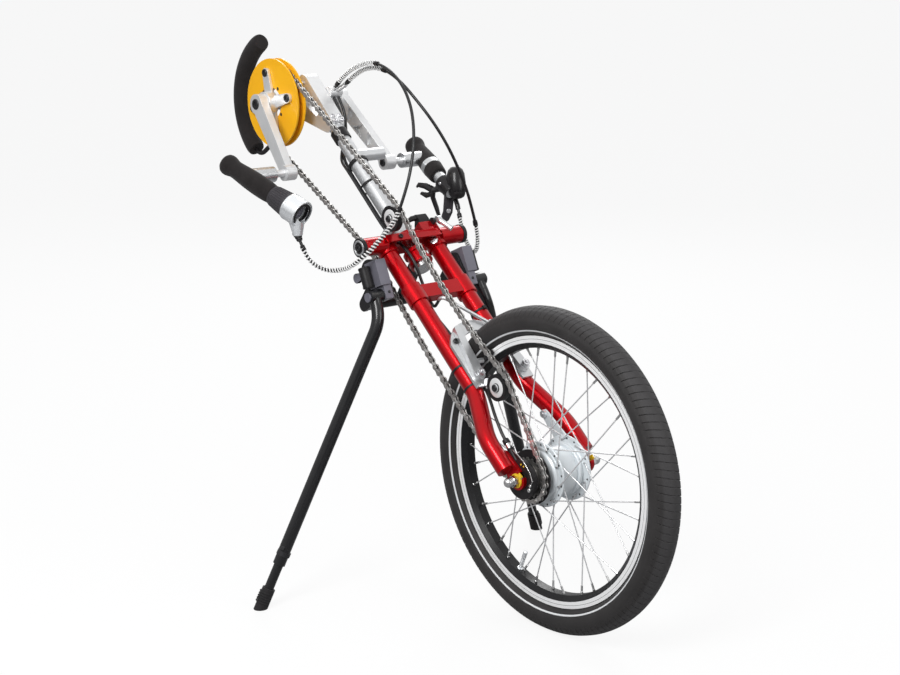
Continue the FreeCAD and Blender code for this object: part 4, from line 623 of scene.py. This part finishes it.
def make_tyre():
    """The tyre with its block tread, in columns that follow the grooves' slant."""
    verts = []
    for x, r, angle in tyre_section():
        slant, drops = 0, [0] * len(BLOCK_COLUMNS)
        if angle is not None:
            from_top = abs(degrees(angle) - 90)
            skew = 1.9 * (abs(x) / TYRE_HALF) ** 1.3 * (1 if x > 0 else -1)
            slant = radians(skew) * (1 if from_top < 95 else 0.6)
            drops = [tread_drop(from_top, column == 0) for column in range(len(BLOCK_COLUMNS))]
        for block in range(TREAD_BLOCKS):
            for share, drop in zip(BLOCK_COLUMNS, drops):
                turn = 2 * pi * (block + share) / TREAD_BLOCKS + slant
                radius = r - drop * sin(angle or 0)
                side = x - drop * cos(angle or 0)
                verts.append((side / 1000, radius * cos(turn) / 1000, (WHEEL_R + radius * sin(turn)) / 1000))
    build = Build("tyre_tread")
    build.skin(verts, TREAD_BLOCKS * len(BLOCK_COLUMNS), closed=True)
    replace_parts(build.make("tyre", "wheel", "tyre", sharp=28), "tyre")


def make_spoke_ends():
    """A nipple and a head at the ends of each spoke."""
    nipples = Build("spoke_nipples")
    heads = Build("spoke_heads")
    for points in islands("spokes"):
        radial = np.hypot(points[:, 1], points[:, 2] - WHEEL_R / 1000)
        out = Vector(points[radial > radial.max() - 0.0012].mean(0))
        near = Vector(points[radial < radial.min() + 0.0016].mean(0))
        along = (out - near).normalized()
        nipples.lathe([(-13, 1.25), (-12.4, 1.75), (-3, 1.8), (-2.6, 2.3), (0.4, 2.3)], out, along, 10)
        heads.lathe([(-1.7, 1), (-1.2, 1.8), (0.8, 1.8), (1.6, 1.1)], near, E_X, 12)
    nipples.make("steel", "wheel", "spoke")
    heads.make("steel", "wheel", "spoke")


def make_valve():
    """The tyre's valve with its thread."""
    valve = Build("tyre_valve")
    angle = radians(-68)
    inward = -Vector((0, cos(angle), sin(angle)))
    root = AXLE - inward * 0.1908
    valve.lathe([(0, 5), (2, 5), (2.4, 3.1), (22, 3), (22.5, 3.6), (33, 3.4), (34, 2.6)], root, inward, 20)
    for i in range(9):
        valve.ring([(5 + i * 1.6, 3), (5.5 + i * 1.6, 3.35), (6 + i * 1.6, 3)], root, inward, 20)
    valve.make("chrome", "wheel", "steel")


def make_hub():
    """The hub's shell, and thin dark discs on its flanges as painted shade in each spoke hole."""
    shell = Build("hub_body")
    shell.ring([(-31, 5.2), (-31, 34), (-30, 36), (-27.6, 38), (-27.2, 42.6), (-26.6, 43.4), (-26, 42.6),
                (-25.7, 42.8), (-25.7, 49.6), (-25, 50.4), (-23, 50.4), (-22.3, 49.6), (-22.3, 44),
                (-21.6, 42), (-19.6, 41.4), (-18.6, 38.4), (14.6, 37.4), (15.2, 35.6), (17.6, 35.6),
                (18.2, 40), (19, 40.8), (22.6, 40.8), (23.4, 38.6), (26.2, 38.6), (27.4, 40), (28.3, 42),
                (28.3, 49.8), (29, 50.6), (31, 50.6), (31.7, 49.8), (31.7, 40), (38, 36), (44, 30),
                (49.6, 20), (52, 15), (52, 5.2)], AXLE, E_X, 120)
    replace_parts(shell.make("hub", "wheel", "hub", sharp=30), "hub_shell")

    hole_shade = Build("hub_hole_shade")
    # Painted shade: a thin dark disc at each spoke hole stands in for the shade inside the hole.
    hole_circle, hole_count = 46.4, 18
    for x, out in ((-25.8, -1), (31.8, 1), (28.2, -1)):
        for i in range(hole_count):
            a = 2 * pi * (i + 0.5) / hole_count
            place = Vector((x / 1000, hole_circle * cos(a) / 1000, (WHEEL_R + hole_circle * sin(a)) / 1000))
            hole_shade.lathe([(-1.2, 1.6), (0.1, 1.6), (0.2, 1.1)], place, (out, 0, 0), 12)
    hole_shade.make("darkbolt", "wheel", "hub")


def make_axle_details():
    """Rings and small screws by the axle's ends, and the hub's cable end with its stop."""
    body = Build("axle_end_details")
    dark = Build("axle_dark_details")
    for side in (-1, 1):
        body.lathe([(0, 12.4), (0.6, 12.8), (1.6, 12.8), (2, 12.2), (2, 5.4), (0, 5.4)],
                   fork(side * 66.9, 0, 0), (-side, 0, 0), 36)
    for b, s in ((-19, 14.5), (-21.5, 9)):
        dark.lathe([(-0.2, 1.3), (0.7, 1.3), (0.9, 0.9)], fork(-67, b, s), (-1, 0, 0), 12)
    for b, s, r in ((-5.5, -23.5, 3.2), (-12.5, -20.5, 2.6)):
        body.lathe([(-0.2, r), (2, r), (2.6, r - 0.6), (2.6, r * 0.5), (1.4, r * 0.45)],
                   fork(-67, b, s), (-1, 0, 0), 20, hexes=(3, 4))
    stop = fork(-63, -13, 47)
    out = (fork(-63, -15, 74) - stop).normalized()
    body.lathe([(1, 2.7), (1, 4.6), (9, 4.6), (9.4, 4), (9.4, 2.7)], stop, out)
    wire = ((-63, -13.5, 48), (-66.5, -20, 40), (-68.2, -25.5, 28), (-68.4, -28.5, 12), (-68.4, -27, -6),
            (-68.4, -21, -19), (-68.4, -13, -21))
    body.tube([fork(*place) for place in wire], 0.7, 8)
    arm = Build("cable_stop")
    arm.lathe([(9.4, 2.7), (9.4, 5.4), (10.4, 5.8), (17, 5.2), (18, 3.8), (18, 2.7)], stop, out)
    arm.lathe([(-1.5, 3), (-1.5, 5), (1, 5.4), (1, 2.7)], stop, out)
    plate = ((-18.5, 50), (-17, 44), (-21, 21), (-4, 26), (-8.5, 50))
    arm.slab([fork(-61.8, b, s) for b, s in plate], (-0.003, 0, 0))
    body.make("steel", "fork", "steel")
    dark.make("zinc", "fork", "yellow_zinc")
    arm.make("black", "fork", "black_metal")


# Chain, in mm

PLATE_THICK = 0.95
LINK_END = 3.78
OUTER_LINK_WIDTH = 6


def measure_links():
    """The width, middle, direction and length of each link of the CAD chain, in the fork's frame."""
    links = []
    for points in islands("chain"):
        about = [Vector(p) - AXLE for p in points]
        local = np.array([(p.x * 1000, p.dot(E_B) * 1000, p.dot(E_S) * 1000) for p in about])
        flat = local[:, 1:]
        centre = flat.mean(0)
        _, vectors = np.linalg.eigh(np.cov((flat - centre).T))
        u = vectors[:, 1]
        along = (flat - centre) @ u
        low, high = along.min(), along.max()
        width = local[:, 0].max() - local[:, 0].min()
        links.append((width, centre + u * (high + low) / 2, u, high - low))
    return links


def chain_plate(build, p, q, low, big, waist):
    """A figure of eight plate round two pin places, low being its place beside the chain's middle."""
    length = np.linalg.norm(q - p)
    d = (q - p) / length
    n = np.array([-d[1], d[0]])

    def end(centre, start):
        turns = [start + pi * i / 8 for i in range(9)]
        return [centre + big * (d * cos(a) + n * sin(a)) for a in turns]

    def side(shares, half):
        return [p + d * (length * share) + n * half for share in shares]

    outline = end(p, pi / 2) + side((0.36, 0.64), -waist)
    outline += end(q, -pi / 2) + side((0.64, 0.36), waist)
    build.slab([fork(CHAIN_X + low, b, s) for b, s in outline], (PLATE_THICK / 1000, 0, 0))


def make_chain():
    """Figure of eight side plates, rollers and pins on the CAD chain's line."""
    dark, bright = Build("chain_outer_plates"), Build("chain_inner_plates")
    pins, rollers = Build("chain_pins"), Build("chain_rollers")
    links = measure_links()
    pin_points = []
    for width, centre, u, extent in links:
        if width <= OUTER_LINK_WIDTH:
            continue
        half = (extent - 2 * LINK_END) / 2
        p, q = centre - u * half, centre + u * half
        pin_points += [p, q]
        for low in (-3.55, 2.6):
            chain_plate(dark, p, q, low, 4.15, 2.6)
        for pin in (p, q):
            at = fork(CHAIN_X, *pin)
            pins.lathe([(-4.1, 1.3), (-3.9, 1.75), (3.9, 1.75), (4.1, 1.3)], at, E_X, 10)
            rollers.lathe([(-1.45, 3.7), (-1.3, 3.85), (1.3, 3.85), (1.45, 3.7)], at, E_X, 12)
    for width, centre, _, _ in links:
        if width > OUTER_LINK_WIDTH:
            continue
        near = sorted(pin_points, key=lambda pin: float(np.linalg.norm(pin - centre)))[:2]
        for low in (-2.5, 1.55):
            chain_plate(bright, *near, low, 4, 2.5)
    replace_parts(dark.make("chain", "fork", "chain", sharp=30), "chain")
    bright.make("chainbright", "fork", "chain", sharp=30)
    pins.make("chain", "fork", "chain", sharp=30)
    rollers.make("roller", "fork", "chain", sharp=30)


# Free cables: routes in mm, and each pale sleeve's start and end share, coil pitch and wire radius

CABLE_ROUTES = {
    "shift": [
        (-161, 424, 570), (-158, 414, 549), (-149, 406, 533), (-138, 386, 524), (-130, 364, 526),
        (-128, 341, 533), (-129, 318, 545), (-119, 302, 560), (-103, 296, 577), (-84, 293, 595),
        (-66, 294, 614), (-58, 288, 642), (-46, 287, 676), (-33, 293, 712), (-19, 308, 748),
        (-6, 332, 783), (3, 365, 813), (8, 407, 835), (12, 454, 843), (16, 504, 832),
        (19, 543, 814), (21, 569, 793)],
    "brake": [
        (171, 424, 586), (168, 413, 563), (163, 398, 543), (157, 380, 528), (150, 361, 522),
        (144, 344, 530), (138, 335, 549), (130, 330, 574), (118, 326, 603), (105, 323, 634),
        (90, 322, 664), (72, 321, 696), (54, 324, 727), (38, 336, 758), (27, 358, 786),
        (21, 389, 813), (20, 427, 830), (23, 471, 833), (27, 517, 820), (30, 551, 799)],
}
SLEEVES = {"shift": ((0.02, 0.36, 5.6, 1.2), (0.8, 0.985, 4.8, 0.95)),
           "brake": ((0.02, 0.27, 4.8, 1), (0.8, 0.985, 4.8, 0.95))}


def cable_start(name):
    """Where a free cable leaves its handle, in metres, and its direction there."""
    first, second = (Vector(place) / 1000 for place in CABLE_ROUTES[name][:2])
    return first, (second - first).normalized()


def centreline(obj):
    """Points read from a curve's spline with no bevel."""
    bare = obj.copy()
    bare.data = obj.data.copy()
    bare.data.bevel_depth = 0
    bpy.context.scene.collection.objects.link(bare)
    bpy.context.view_layer.update()
    mesh = bpy.data.meshes.new_from_object(bare.evaluated_get(bpy.context.evaluated_depsgraph_get()))
    points = [Vector(v.co) for v in mesh.vertices]
    bpy.data.objects.remove(bare)
    bpy.data.meshes.remove(mesh)
    return points


def along_line(points, start, end, count):
    """Evenly spaced points on a stretch of a line, given as shares of its length."""
    lengths = [0]
    for a, b in zip(points, points[1:]):
        lengths.append(lengths[-1] + (b - a).length)
    result = []
    segment = 0
    for i in range(count):
        target = lengths[-1] * (start + (end - start) * i / (count - 1))
        while segment < len(points) - 2 and lengths[segment + 1] < target:
            segment += 1
        span = max(1e-9, lengths[segment + 1] - lengths[segment])
        result.append(points[segment].lerp(points[segment + 1], (target - lengths[segment]) / span))
    return result


def coil(build, line, radius, wire, pitch):
    """A close wire coil round a line, with sizes in mm."""
    steps_a_turn = 10
    turns = max(2, int(sum((b - a).length for a, b in zip(line, line[1:])) * 1000 / pitch))
    centres = along_line(line, 0, 1, turns * steps_a_turn + 1)
    normal = (centres[1] - centres[0]).orthogonal().normalized()
    points = []
    for i, (normal, across) in enumerate(carried(centres, normal)):
        angle = 2 * pi * i / steps_a_turn
        points.append(centres[i] + (normal * cos(angle) + across * sin(angle)) * radius / 1000)
    build.tube(points, wire, 5)


def cable_curve(name, route):
    """The sheath as a smooth curve with a round section, 5 mm across."""
    curve = bpy.data.curves.new(name + "_cable_line", "CURVE")
    curve.dimensions = "3D"
    curve.bevel_depth = 0.0025
    curve.bevel_resolution = 4
    curve.resolution_u = 10
    curve.use_fill_caps = True
    spline = curve.splines.new("NURBS")
    spline.points.add(len(route) - 1)
    for point, (x, y, z) in zip(spline.points, route):
        point.co = (x / 1000, y / 1000, z / 1000, 1)
    spline.order_u = 3
    spline.use_endpoint_u = True
    curve.materials.append(M["cable"])
    return new_object(name + "_cable_sheath", curve)


def make_cables():
    for name, route in CABLE_ROUTES.items():
        cable = cable_curve(name, route)
        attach(cable, "fork")
        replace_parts(cable, name + "_cable")
        line = centreline(cable)
        sleeve = Build(name + "_cable_coil")
        tips = Build(name + "_cable_tips")
        for start, end, pitch, wire in SLEEVES[name]:
            part = along_line(line, start, end, 160)
            coil(sleeve, part, 3.2, wire, pitch)
            for place, inner in ((part[0], part[3]), (part[-1], part[-4])):
                tips.lathe([(-5, 2.9), (-4.6, 3.9), (3, 4.1), (4.4, 3.6), (4.4, 2.7)],
                           place, inner - place, 20)
        coil_piece = sleeve.make("pale", "fork", "grey_plastic")
        tip_piece = tips.make("black", "fork", "black_plastic")


# Handles and foam

def make_grips():
    """The closed foam sleeves with a crowned outside, and the left one's silver band."""
    profile = [(-61.5, 13.4), (-61.8, 14.6), (-60, 15.6), (-52, 16.6), (-40, 17.3), (-26, 17.4),
               (-12, 17), (2, 16.2), (14, 15.2), (23, 14.6), (29, 14.8), (34, 16.2),
               (38.5, 17.3), (43, 17.4), (47, 16.4), (50, 14), (51.5, 10), (52, 4)]
    for side, name in ((-1, "right"), (1, "left")):
        foam = Build("grip_foam_" + name)
        foam.lathe(profile, handle(side, 0), handle_dir(side), 44)
        piece = foam.make("foam", "handle_" + name, "black_foam", sharp=60)
        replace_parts(piece, "handle_foam_" + name)
    bands = Build("grip_bands")
    low, high = -38.5, -26
    bands.lathe([(low, 16.2), (low + 0.6, 17.7), (high - 0.6, 17.7), (high, 16.2)],
                handle(1, 0), handle_dir(1), 48)
    bands.make("silver", "handle_left", "silver_alloy")


def make_brake_lever():
    """The left handle's clamp with its round body, the blade and the small two armed locking lever."""
    start = handle(1, -81)

    def off(x, y, z):
        return start + Vector((x, y, z)) / 1000

    def bar(build, places, radii, seg, flat, **more):
        build.tube([off(*place) for place in places], radii, seg, flat, **more)

    black = Build("brake_lever_body")
    black.ring([(-82.5, 11.15), (-82.2, 13.4), (-84, 15.4), (-95, 15.4), (-97, 14), (-117, 13.4),
                (-119.6, 12), (-119.6, 11.15)], handle(1, 0), handle_dir(1), 44)
    up, down = off(3, -30, 16), off(0, -38, -13)
    length = (down - up).length * 1000
    black.lathe([(-13, 3), (-11.6, 8), (-7, 12.6), (0, 15.2), (length * 0.5, 16), (length, 15.2),
                 (length + 2, 14.4)], up, down - up, 40)
    bar(black, ((9, -13, 4), (8, -22, 14), (7, -28, 22), (10, -26, 30)), [6.5, 6, 5.4, 3.6], 16, 0.8)
    bar(black, ((0, 8, -12), (-3, 22, -17), (-3, 24, -30), (-1, 16, -48), (1, 12, -62)),
        [8, 7.6, 7, 6.6, 5], 18, 0.6)
    bar(black, ((-3, 22, -17), (-8, 38, -11), (-13, 51, -10), (-14, 54, -14)), [6.6, 6, 4.8, 3.2], 14, 0.6)
    bar(black, ((-3, 22, -22), (-8, 34, -27), (-11, 46, -24)), [6.4, 6, 3.4], 14, 0.6)
    outlet, towards = cable_start("brake")
    black.lathe([(-8, 4.2), (0, 4.2), (0, 2.6)], outlet, towards, 24)
    black.tube([outlet - towards * 0.0078, off(7, -20, -20)], 4.2, 20)
    cap = Build("brake_lever_cap")
    cap.lathe([(length + 1, 13.6), (length + 6, 13.2), (length + 10, 10.6), (length + 12, 6)],
              up, down - up, 40)
    blade = Build("brake_lever_blade")
    bar(blade, ((4, -10, -20), (5, -9, -36), (5, -7, -52), (8, 4, -66), (10, 20, -76)),
        [7.4, 8.6, 8.4, 7.6, 5.6], 24, 0.4, hint=(0.777, -0.628, 0))
    bolt = Build("brake_lever_bolts")
    bolt.lathe([(0, 3.8), (1.6, 3.8), (2.2, 3)], off(3, -11.2, -50), Vector((-0.5, -0.85, 0.1)), 20)
    bolt.lathe([(-1, 2.8), (1, 2.8), (1.6, 2)], handle(1, -88) + Vector((-0.0145, -0.005, 0.002)),
               (-1, -0.3, 0), 18)
    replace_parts(black.make("blackmetal", "handle_left", "black_metal", sharp=40), "brake_lever")
    cap.make("black", "handle_left", "black_plastic")
    blade.make("grip", "handle_left", "black_metal", sharp=40)
    bolt.make("bolt", "handle_left", "steel")


def make_shifter_details():
    """The twist ring's ribs, the housing's dark mouth and rings, its plug and the cable's boot."""
    axis, origin = handle_dir(-1), handle(-1, 0)
    side = axis.orthogonal().normalized()
    third = axis.cross(side)
    ribs = Build("twist_ribs")
    for k in range(30):
        angle = 2 * pi * k / 30
        out = side * cos(angle) + third * sin(angle)
        line = ((-65, 16.5), (-66, 17), (-90, 19.7), (-92, 19.6))
        ribs.tube([origin + (axis * a + out * r) / 1000 for a, r in line], [0.5, 0.75, 0.85, 0.5], 8)
    ribs.ring([(-97.6, 20), (-97.4, 21.2), (-93.6, 20.8), (-93.4, 19.4)], origin, axis, 56)
    ribs.make("grip", "handle_right", "black_rubber")
    mouth = Build("shifter_mouth")
    mouth.ring([(-127.6, 15.2), (-127.9, 18.4), (-126.6, 18.8), (-120.2, 15.3), (-120.2, 14.4)],
               origin, axis, 56)
    boot = [(-15, 7)]
    for fold in range(4):
        at, radius = fold * 3.4, 7.6 - fold * 0.8
        boot += [(-13 + at, radius), (-11.2 + at, radius), (-10.6 + at, 6.4 - fold * 0.7)]
    boot += [(1, 4.6), (1.4, 3.6)]
    mouth.lathe(boot, *cable_start("shift"))
    mouth.make("black", "handle_right", "black_plastic")
    plug = Build("bar_plug")
    plug.lathe([(-0.2, 10.6), (0.8, 10.6), (1.4, 9.8), (1.4, 5), (0.4, 4.6)], handle(-1, -118), -axis, 36)
    plug.make("grey", "handle_right", "grey_plastic")
    shell = Build("shifter_shell_rings")
    shell.ring([(-99.8, 22), (-99.6, 22.7), (-101.6, 23), (-102.4, 22.2)], origin, axis, 56)
    shell.ring([(-125.4, 22.2), (-126.2, 23), (-127.6, 22.4), (-127.8, 21)], origin, axis, 56)
    shell.make("chrome", "handle_right", "silver_alloy")


def make_guard_foam():
    """The clothing guard's foam, swollen in its middle with pinched ends."""
    bend, start, span, steps = 111, 113, 115, 60
    points, radii = [], []
    for i in range(steps + 1):
        share = i / steps
        angle = radians(start - span * share)
        points.append(fork(-45, CRANK_B + bend * cos(angle), CRANK_S + bend * sin(angle)))
        radii.append(15.3 * (0.9 + 0.1 * min(1, min(share, 1 - share) * 24) ** 0.5))
    build = Build("guard_foam_skin")
    build.tube(points, radii, 32, hint=(1, 0, 0))
    obj = build.make("foam", "fork", "black_foam", sharp=50)
    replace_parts(obj, "guard_foam")


# Small parts

def strap(build, centre, radius):
    """A cable tie round a tube of the fork, with its lock."""
    half, outside = 1.8, radius + 1.1
    axis = E_S.normalized()
    build.ring([(-half, radius), (-half, outside), (half, outside), (half, radius)], centre, axis, 40)
    out = -E_B
    place = centre + out * (outside + 1.2) / 1000
    side = axis.cross(out).normalized()
    corners = [place + (side * a * 3 + out * c * 2) / 1000 - axis * 2.8 / 1000
               for a, c in ((-1, -1), (1, -1), (1, 1), (-1, 1))]
    build.slab(corners, axis * 5.6 / 1000)


def make_fork_bolts():
    bolts = Build("fork_bolts")
    dark = Build("fork_dark_bolts")
    ties = Build("cable_ties")
    for x, b, s, radius in ((50, 0, 210, 14.1), (-50, 0, 208, 14.1), (-50, 0, 171, 14.1), (50, 0, 303, 14.1),
                            (0, 4, 520, 18.2), (0, 4, 590, 18.2)):
        strap(ties, fork(x, b, s), radius)
    for x in (-46, 46):
        bolts.nut(fork(x, -30, 178), -E_B, 5.6, 4.5, 2.8)
        for s in (200, 248):
            dark.screw(fork(x, -19, s), -E_B, 4.6, 3, 2.2)
    bolts.nut(fork(38.6, -13.2, 447.5), -E_X * 0.655 - E_B * 0.756, 6, 5, 3)
    bolts.nut(fork(53, 2, 100), (-1, 0, 0), 5.8, 4.5, 3)
    dark.screw(fork(-34, -28.2, 456), -E_B, 4, 2.6, 2)
    for side in (-1, 1):
        dark.screw(fork(side * 106.384, *CROWN_CAP), (side, 0, 0), 5, 2.2, 2.6)
    for b, s in ROLLERS:
        dark.cap_screw(fork(-58.2, b, s), (-1, 0, 0), 5.4, 1.8, 0.8, 2.2, 0.9, 28, low=-0.3)
    bolts.make("bolt", "fork", "steel")
    dark.make("darkbolt", "fork", "black_metal")
    ties.make("black", "fork", "black_plastic")


def make_crown_details():
    """The crown's lock lever with its cam, and the silver rings in its side caps."""
    cam = Build("crown_lock_lever")
    outline = ((-24.5, 481.1), (-26, 486), (-25.5, 496.5), (-22.5, 499), (-18.5, 498),
               (-15, 491), (-8.5, 486), (-5, 481.1))
    cam.slab([fork(23, b, s) for b, s in outline], (0.021, 0, 0))
    lever = ((23.5, -20, 494), (17, -19, 494.5), (9, -16.5, 492.5), (4, -15, 490))
    cam.tube([fork(*place) for place in lever], [5, 4.6, 3.6, 2.2], 16)
    cam.lathe([(0, 6), (3.5, 6), (4.2, 5.2)], fork(44, -27.5, 478), E_X)
    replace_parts(cam.make("black", "fork", "black_plastic"), "lock_cam")
    caps = Build("cap_rings")
    for side in (-1, 1):
        caps.ring([(-0.2, 9.2), (1, 9.6), (1.6, 11), (1, 12.6), (-0.2, 13)],
                  fork(side * 106.3, *CROWN_CAP), (side, 0, 0), 48)
    caps.make("turned", "fork", "silver_alloy")


def make_roller_discs():
    discs = Build("roller_discs")
    for b, s in ROLLERS:
        for side in (-1, 1):
            discs.lathe([(0, 15.2), (0.9, 15.2), (1.3, 14.6), (1.3, 7.2), (0.2, 7)],
                        fork(CHAIN_X + side * 3.6, b, s), (side, 0, 0), 48)
    discs.make("disc", "fork", "silver_alloy")


def make_crank_details():
    dark = Build("crank_bolts")
    plates = Build("spider_bolts")
    for side in (-1, 1):
        dark.cap_screw(crank(side * 91.6, 0), (side, 0, 0), 9, 2.4, 0.8, 4.4, 0.6, 36)
        dark.cap_screw(crank(side * 93.8, CRANK_LENGTH), (-side, 0, 0), 7, 2, 0.6, 3.6, 0.4, 32)
        across = Vector((0, sin(CRANK_TURN), -cos(CRANK_TURN)))
        dark.screw(crank(side * 84, -8, 15.5), across, 3.4, 2.4, 1.7)

    def on_circle(x, radius, turn):
        """A point on a circle round the crank's axis, by its turn in degrees."""
        angle = radians(turn)
        return fork(x, CRANK_B + radius * cos(angle), CRANK_S + radius * sin(angle))

    for quarter in (0, 90, 180, 270):
        plates.cap_screw(on_circle(-63.5, 52, quarter + 35), (-1, 0, 0), 6.6, 2.6, 0.8, 3.2, 1, 28)
        plates.lathe([(-0.2, 2.9), (0.25, 2.9), (0.3, 2.4)], on_circle(-58.2, 30.5, quarter + 83),
                     (-1, 0, 0), 20)
    dark.make("darkbolt", "crank", "black_metal")
    plates.make("darkbolt", "crank", "black_metal")
    head = Build("head_bolts")
    for s in (722, 732):
        for x in (-7, 7):
            head.screw(fork(x, -15.2, s), -E_B, 3.6, 3, 1.9)
    for b, s in ((-4, 822), (30, 846)):
        for side in (-1, 1):
            head.screw(fork(side * 13, b, s), (side, 0, 0), 3.4, 2.6, 1.8)
    head.make("bolt", "fork", "steel")


def make_dock_details():
    bolts = Build("dock_bolts")
    rings = Build("dock_rings")
    levers = Build("lock_lever_plates")
    front, below = dock(0, -1, 0) - dock(0, 0, 0), dock(0, 0, 1) - dock(0, 0, 0)
    half_thick, nose = 2.8, 8.2
    for side in (-1, 1):
        bolts.screw(dock(side * 87, -13, 54), front, 2.4, 1.2, 1.3)
        x = side * 109.3
        for down in (8.4, 38):
            rings.ring([(-1.2, 8.6), (-0.9, 9.5), (0.9, 9.5), (1.2, 8.6)], dock(x, 6, down), below, 44)
        turns = [radians(-70 + 10 * i) for i in range(15)]
        face = x - half_thick
        outline = [dock(face, 28 + nose * cos(a), 18 + nose * sin(a)) for a in turns]
        outline += [dock(face, 14.5, 22.6), dock(face, 14.5, 13.4)]
        levers.slab(outline, (2 * half_thick / 1000, 0, 0))
    bolts.make("darkbolt", "dock", "black_metal")
    rings.make("black", "dock", "black_metal")
    levers.make("grey", "dock", "grey_plastic")
    plate_bolts = Build("side_plate_bolts")
    for side in (-1, 1):
        for b, s in ((10, 419), (17, 398), (58, 412)):
            plate_bolts.screw(fork(side * 74.6, b, s), (-side, 0, 0), 3.2, 2, 1.7)
    plate_bolts.make("bolt", "dock", "steel")


def make_leg_details():
    """Rings on the rubber tips, and the button and collar of each leg's sliding tube."""
    for side, name in ((-1, "right"), (1, "left")):
        tip_low, tip_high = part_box("stand_tip_" + name)
        leg_low, leg_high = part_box("stand_inner_" + name)
        tip = (tip_low + tip_high) / 2
        leg = (leg_low + leg_high) / 2
        axis = (tip - leg).normalized()
        rings = Build("stand_rings_" + name)
        for step in (-2, -1, 0, 1, 2):
            rings.ring([(-1.1, 10.3), (-0.7, 11.3), (0.7, 11.3), (1.1, 10.3)],
                       tip + axis * (step * 4.2) / 1000, axis, 40)
        rings.make("rubber", "stand_" + name, "black_rubber")
        button = Build("stand_button_" + name)
        outward = Vector((side, -0.4, 0))
        outward = (outward - axis * outward.dot(axis)).normalized()
        button.lathe([(7, 3.4), (11.8, 3.4), (12.6, 2.6)], leg + axis * -0.026, outward, 20)
        button.ring([(-4, 10), (-3.6, 11.2), (3.6, 11.2), (4, 10)], leg + axis * -0.017, axis, 40)
        button.make("darkbolt", "stand_" + name, "black_metal")


make_camera()
make_stage()
M = make_materials()
dress_nodes()

make_tyre()
make_spoke_ends()
make_valve()
make_hub()
make_axle_details()
make_chain()
make_cables()
make_grips()
make_shifter_details()
make_brake_lever()
make_guard_foam()
make_fork_bolts()
make_crown_details()
make_roller_discs()
make_crank_details()
make_dock_details()
make_leg_details()
